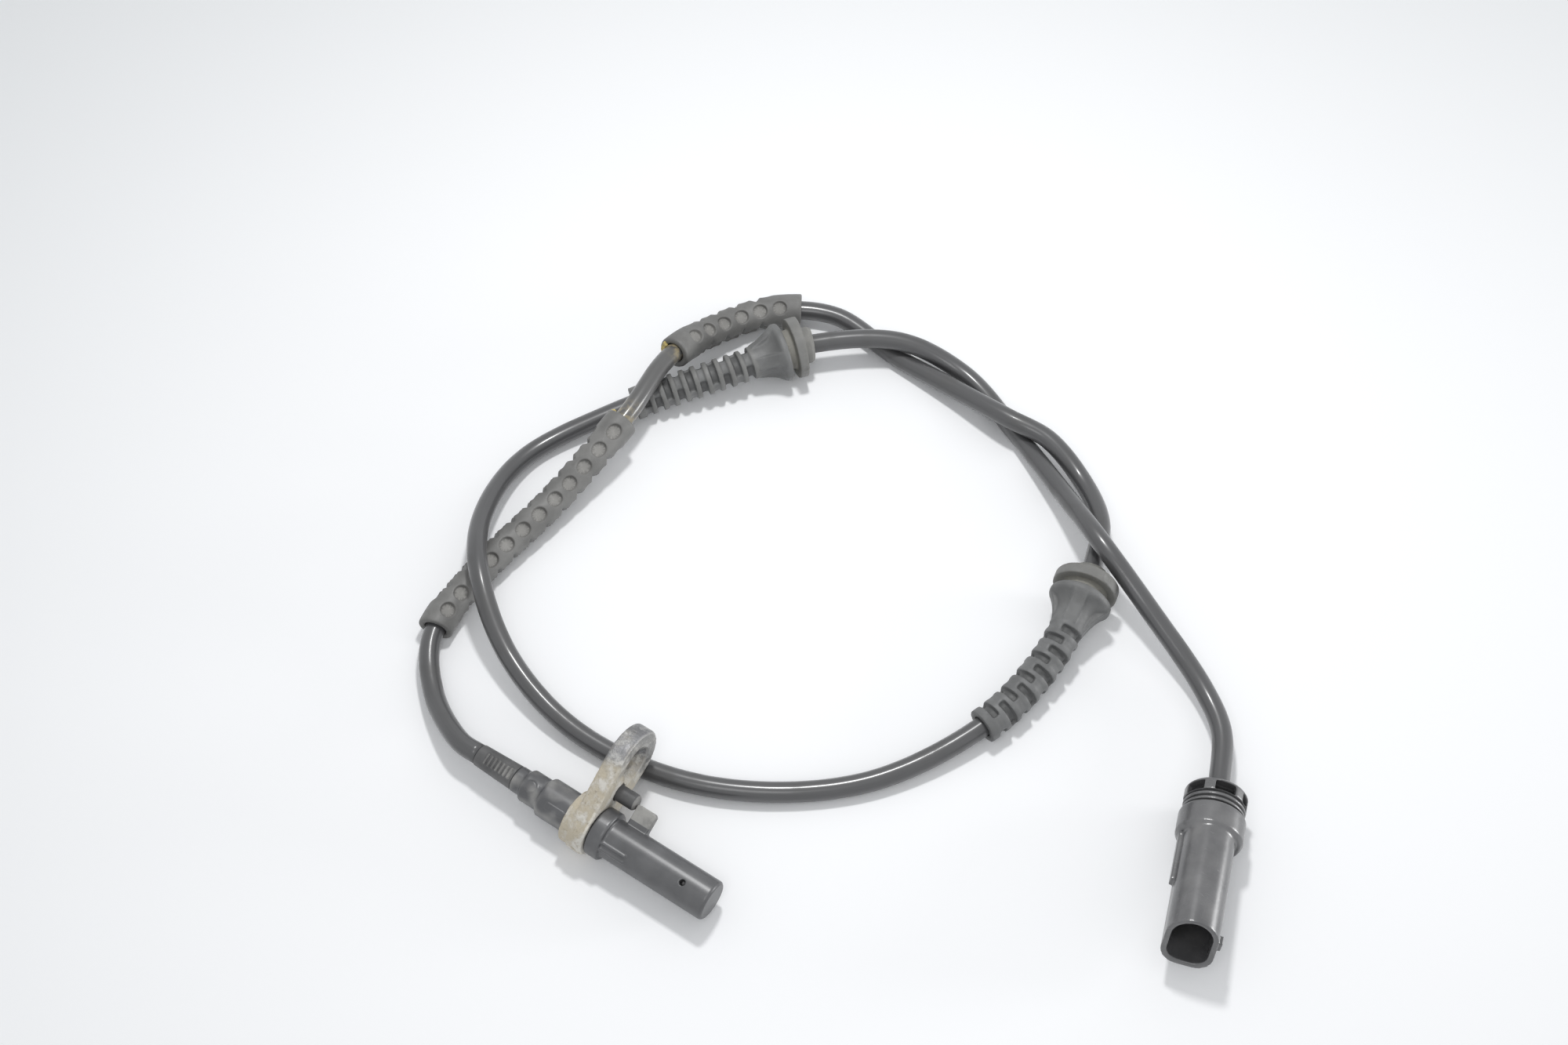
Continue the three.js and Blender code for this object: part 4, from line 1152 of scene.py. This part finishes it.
class SENSOR_OT_probe(bpy.types.Operator):
    """Make the moulded probe"""

    bl_idname = "sensor.probe"
    bl_label = "Probe"

    def execute(self, context):
        sizes = in_mm(context.scene.sensor_probe)
        thickness = in_mm(context.scene.sensor_flange).thickness
        nose, front, small = sizes.nose_radius, sizes.front_collar, sizes.rear_collar
        tip, collar_end = sizes.nose_length, sizes.collar_length
        step, rear, collar_rear = -sizes.rear_body, -sizes.rear_length, -sizes.collar_end
        insert, gap, chamfer, edge = 3.5, 0.3, 0.55, 0.4
        rib_start, rib_end, rib_radius = 3.4, 11.4, 0.5
        vent_depth = 2.2
        forms = [
            turned([
                (rear, 0), (rear, insert), (collar_rear, insert), (collar_rear, small - chamfer),
                (collar_rear + chamfer, small), (step, small), (step, nose - chamfer),
                (step + chamfer, nose), (gap, nose), (gap, front), (collar_end - edge, front),
                (collar_end, front - edge), (collar_end, nose), (tip - chamfer, nose),
                (tip, nose - chamfer), (tip, 0),
            ], 120),
            self.key(sizes.key_reach, nose),
            self.gate_mark(small),
            self.pad(nose),
        ]
        for angle in RIB_ANGLES:
            y, z = nose * math.cos(angle), nose * math.sin(angle)
            forms.append(rod(rib_start, rib_end, rib_radius, y, z, 16))
        vent = rod(nose - vent_depth, nose + 1, sizes.vent, segments=32)
        vent = upright(vent, sizes.vent_place, CAMERA_SIDE)
        piece = moulded("probe_moulding", forms, voxel=0.22, rounds=2, holes=[vent])

        def dust_and_key_sheen(point):
            """Dust in patches behind the flange, and a painted highlight over the whole key."""
            if point.x < -thickness:
                return clamped(0.2 + 1.1 * noise_at(point, 3.2, 2.0))
            # Painted highlight: the key is painted pale all over, standing in for its lit faces
            return 1.5 if off_axis(point) > nose + 1.6 else 0.05

        marked(piece, "dust_and_sheen", dust_and_key_sheen)
        seated(piece, lambda point: HEAD_SEAT @ point)
        base = context.scene.sensor_colours.probe
        finish = plastic_finish("probe_plastic", base, rough=0.3, dust_and_sheen_amount=1.0, shine=0.8)
        dressed(piece, finish, ["sensor_housing"])
        return {"FINISHED"}

    @staticmethod
    def gate_mark(radius):
        """The round mark that the mould's gate leaves on the rear collar."""
        place, size, proud = -19.6, 1.5, 0.3
        return upright(rod(0, radius + proud, size, segments=32), place, CAMERA_SIDE)

    @staticmethod
    def pad(radius):
        """A low flat pad on the wide body behind the flange."""
        start, end, half_width, proud = -13.4, -8.2, 0.9, 0.18
        form = block((start, 0, -half_width), (end, radius + proud, half_width))
        return rolled(form, CAMERA_SIDE + 0.35)

    @staticmethod
    def key(reach, nose):
        """The fin that stops the probe from turning."""
        start, end, corner, half_width, sunk = 6.2, 12.0, 1.0, 1.3, 1.5
        curve = arc((end - corner, reach - corner), corner, 0, math.pi / 2, 8)
        outline = [(start, nose - sunk), (end, nose - sunk), *curve, (start, reach)]
        return rolled(slab(outline, half_width), FLANGE_ROLL)


class SENSOR_OT_flange(bpy.types.Operator):
    """Make the metal flange and its locating peg"""

    bl_idname = "sensor.flange"
    bl_label = "Flange"

    def execute(self, context):
        sizes = in_mm(context.scene.sensor_flange)
        colours = context.scene.sensor_colours
        bore = in_mm(context.scene.sensor_probe).nose_radius + 0.3
        turn = HEAD_SEAT @ Matrix.Rotation(FLANGE_ROLL, 4, "X")
        self.plate(sizes, bore, turn, flange_finish(colours.steel, colours.tan))
        base = shade(colours.probe, 0.8)
        self.peg(sizes, turn, plastic_finish("peg_plastic", base, rough=0.42, dust_and_sheen_amount=1.0))
        return {"FINISHED"}

    def plate(self, sizes, bore, turn, finish):
        """The plate, its boss and its holes, with a pitted surface."""
        lobe, eye, spacing = sizes.lobe, sizes.eye, sizes.spacing
        rear = -sizes.thickness
        boss_end = rear - sizes.boss_height
        tangent = math.acos((lobe - eye) / spacing)
        inset, peg_gap = 0.45, 0.25

        def outline(less):
            """The plate's outline, made smaller all round."""
            return (
                arc((spacing, 0), eye - less, -tangent, tangent, 56)
                + arc((0, 0), lobe - less, tangent, 2 * math.pi - tangent, 44)
            )

        forms = [
            pushed(outline(inset), rear, 0),
            pushed(outline(0), rear + inset, -inset),
            rod(boss_end, rear + 1, sizes.boss, segments=72),
        ]
        hole, cone = sizes.bolt_hole, sizes.countersink
        eye_hole = turned([
            (rear - 1, 0), (rear - 1, hole), (-cone, hole), (0, hole + cone), (1, hole + cone), (1, 0),
        ], 64)
        holes = [
            rod(boss_end - 1, 1, bore, segments=96),
            moved(eye_hole, Matrix.Translation((0, spacing, 0))),
            rod(boss_end - 1, 1, sizes.peg + peg_gap, sizes.peg_place, 0, 48),
        ]
        piece = moulded("flange_plate", forms, voxel=0.22, rounds=2, holes=holes)

        def pale(point):
            """Pale crust on the front face, most of it round the probe."""
            if point.x > -0.5 and point.y < 4:
                return 1.0
            return 0.25 if point.x > -0.3 else 0.0

        def pitting(point):
            """Pits and crusts, coarser near the probe."""
            near_probe = max(0.0, 1 - abs(point.y - 3) / 18)
            return 0.10 * noise_at(point, 1.6, 7.0) * near_probe + 0.04 * noise_at(point, 0.7, 9.0)

        marked(piece, "eyeward", lambda point: clamped((point.y - 8) / 14))
        marked(piece, "front", pale)
        seated(piece, lambda point: turn @ point, pitting)
        dressed(piece, finish, ["mounting_flange"])

    def peg(self, sizes, turn, finish):
        """The peg through the flange, with a pale chamfered end."""
        radius, reach = sizes.peg, sizes.peg_reach
        rear = -sizes.thickness - 0.3
        head = turned([
            (rear - 1.2, 0), (rear - 1.2, 2.4), (rear - 0.9, 2.7), (rear, 2.9), (rear, radius),
            (reach - 0.9, radius), (reach - 0.55, radius - 0.2), (reach, radius - 0.75), (reach, 0),
        ], 64)
        head = moved(head, Matrix.Translation((0, sizes.peg_place, 0)))
        boss = rod(rear - 3, rear + 0.3, sizes.boss + 0.3, segments=72)
        piece = moulded("flange_peg", [head], voxel=0.18, rounds=2, holes=[boss])
        marked(piece, "dust_and_sheen", lambda point: 1.0 if point.x > reach - 0.7 else 0.12)
        seated(piece, lambda point: turn @ point)
        dressed(piece, finish, ["locating_peg"])


class SENSOR_OT_plug(bpy.types.Operator):
    """Make the plug's cap, barrel and contacts"""

    bl_idname = "sensor.plug"
    bl_label = "Plug"

    def execute(self, context):
        sizes = in_mm(context.scene.sensor_plug)
        base = context.scene.sensor_colours.plug
        finish = plastic_finish("plug_plastic", base, rough=0.2, dust_and_sheen_amount=0.8, shine=1.0)
        self.cap(sizes, finish, in_mm(context.scene.sensor_cable).radius + 0.25)
        self.barrel(sizes, finish)
        self.contacts(sizes.socket_start)
        return {"FINISHED"}

    @staticmethod
    def put(piece, finish, slot, node):
        """Seats a piece that was built along the plug's axis."""
        seated(piece, lambda point: PLUG_SEAT @ point)
        dressed(piece, finish, [node])

    def cap(self, sizes, finish, cable_hole):
        """The rear cap with its windows and two sealing ribs."""
        radius, end = sizes.cap, sizes.cap_length
        wall, step = 1.5, 1.1
        band = end - 3.2
        shell = turned([
            (0, cable_hole), (0, radius - 1.3), (0.35, radius - 0.5), (1.0, radius), (band, radius),
            (band + 0.1, radius - step), (end, radius - step), (end, radius - wall),
            (wall, radius - wall), (wall, cable_hole),
        ], 96)
        rib_places, rib_width = (0.65, 2.1), 0.85
        ribs = [
            ring(band + x, band + x + rib_width, radius - wall, radius - 0.1, 96) for x in rib_places
        ]
        count, first, last, half_width = 6, 1.25, 3.9, 2.7
        windows = []
        for i in range(count):
            window = block((first, -half_width, radius - 2.6), (last, half_width, radius + 2))
            windows.append(rolled(window, (i + 0.5) * 2 * math.pi / count + math.radians(21)))
        piece = moulded("plug_rear_cap", [shell, *ribs], voxel=0.19, rounds=2, holes=windows)
        marked(piece, "dust_and_sheen", lambda point: 0.16)
        self.put(piece, finish, "plug", "plug_cap")

    def barrel(self, sizes, finish):
        """The collar and the oval barrel, with its key, its latch, a slanted mouth and the socket."""
        start = sizes.cap_length + 0.3
        end, width, height, collar = sizes.end, sizes.width, sizes.height, sizes.collar
        collar_end = start + sizes.collar_length
        key_end, key_half, key_height = 29, 1.6, 1.1
        latch_start, latch_end, latch_low, latch_high, latch_height = 40, 42.4, -3.3, 0.1, 1.2
        seal_end, seal_radius = 20.0, 5.25
        forms = [
            pushed(arch(width, height, 4.6, 40), start, end),
            turned([
                (start, 0), (start, collar - 0.5), (start + 0.5, collar), (collar_end - 1.2, collar),
                (collar_end, collar - 0.7), (collar_end, 0),
            ], 120),
            block((collar_end - 1, -width / 2 - key_height, -key_half), (key_end, 0, key_half)),
            block((latch_start, 0, latch_low), (latch_end, width / 2 + latch_height, latch_high)),
        ]
        slope = math.atan2(sizes.slant, height)
        face = moved(block((0, -12, -14), (12, 12, 14)), Matrix.Rotation(-slope, 4, "Y"))
        face = moved(face, Matrix.Translation((end - sizes.slant / 2, 0, 0)))
        socket = arch(sizes.socket_width, sizes.socket_height, 3.4, 32)
        socket = pushed(socket, sizes.socket_start, end + 2)
        seal = rod(start - 1, seal_end, seal_radius, segments=64)
        holes = [face, socket, seal]
        piece = moulded("plug_barrel", forms, voxel=0.24, rounds=2, holes=holes)
        marked(piece, "dust_and_sheen", lambda point: 0.1 + 0.25 * max(0.0, noise_at(point, 5.0, 4.0)))
        self.put(piece, finish, "plug", "plug_housing")

    def contacts(self, socket_start):
        """Two contacts with bevelled ends."""
        finish = contact_finish()
        start, end = 18.6, socket_start + 9
        radius, spacing = 0.75, 2.2
        profile = [(start, 0), (start, radius), (end - 1, radius), (end - 0.2, 0.4), (end, 0.2), (end, 0)]
        for name, y in (("left", spacing), ("right", -spacing)):
            pin = moved(turned(profile, 24), Matrix.Translation((0, y, 0)))
            self.put(object_of("plug_contact_" + name, pin), finish, "contact", "terminal_" + name)


class SENSOR_OT_inside(bpy.types.Operator):
    """Finish the CAD pieces inside the probe and the plug"""

    bl_idname = "sensor.inside"
    bl_label = "Inside"

    def execute(self, context):
        contact = contact_finish()
        finishes = {
            inner_finish("carrier_plastic", (0.09, 0.09, 0.1), 0.5): ["chip_carrier"],
            inner_finish("chip_mould", (0.03, 0.03, 0.033), 0.4): ["sensor_chip"],
            inner_finish("capacitor_ceramic", (0.45, 0.3, 0.16), 0.5): ["capacitor"],
            inner_finish("brown_core", (0.25, 0.12, 0.05), 0.4): ["core_end_left", "plug_core_left"],
            inner_finish("blue_core", (0.05, 0.12, 0.32), 0.4): ["core_end_right", "plug_core_right"],
            inner_finish("seal_rubber", (0.14, 0.14, 0.15), 0.6): ["plug_seal"],
            contact: ["lead_left", "lead_right", "crimp_left", "crimp_right"],
        }
        for finish, nodes in finishes.items():
            for node in nodes:
                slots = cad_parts[node].data.materials
                slots.clear()
                slots.append(finish)
        return {"FINISHED"}


class SENSOR_OT_cord(bpy.types.Operator):
    """Work out the cable's first point, which nothing uses"""

    bl_idname = "sensor.cord"
    bl_label = "Cord"

    def execute(self, context):
        LINE.point(0) * MM
        return {"FINISHED"}


STEPS = (
    SENSOR_OT_stage,
    SENSOR_OT_cable,
    SENSOR_OT_sleeves,
    SENSOR_OT_grommets,
    SENSOR_OT_probe,
    SENSOR_OT_flange,
    SENSOR_OT_plug,
    SENSOR_OT_inside,
    SENSOR_OT_cord,
)


class SENSOR_PT_panel(bpy.types.Panel):
    """Lists the sensor's steps and sizes"""

    bl_idname = "SENSOR_PT_panel"
    bl_label = "Wheel Speed Sensor"
    bl_space_type = "VIEW_3D"
    bl_region_type = "UI"
    bl_category = "Sensor"

    def draw(self, context):
        for step in STEPS:
            self.layout.operator(step.bl_idname)
        for name, group in GROUPS.items():
            box = self.layout.box()
            box.label(text=group.__doc__)
            for key in group.__annotations__:
                box.prop(getattr(context.scene, name), key)


def register():
    for group in (*GROUPS.values(), *STEPS, SENSOR_PT_panel):
        bpy.utils.register_class(group)
    for name, group in GROUPS.items():
        setattr(bpy.types.Scene, name, PointerProperty(type=group))


def unregister():
    for name in GROUPS:
        delattr(bpy.types.Scene, name)
    for group in reversed((*GROUPS.values(), *STEPS, SENSOR_PT_panel)):
        bpy.utils.unregister_class(group)


def main():
    register()
    for step in STEPS:
        family, name = step.bl_idname.split(".")
        getattr(getattr(bpy.ops, family), name)()


if __name__ == "__main__":
    main()
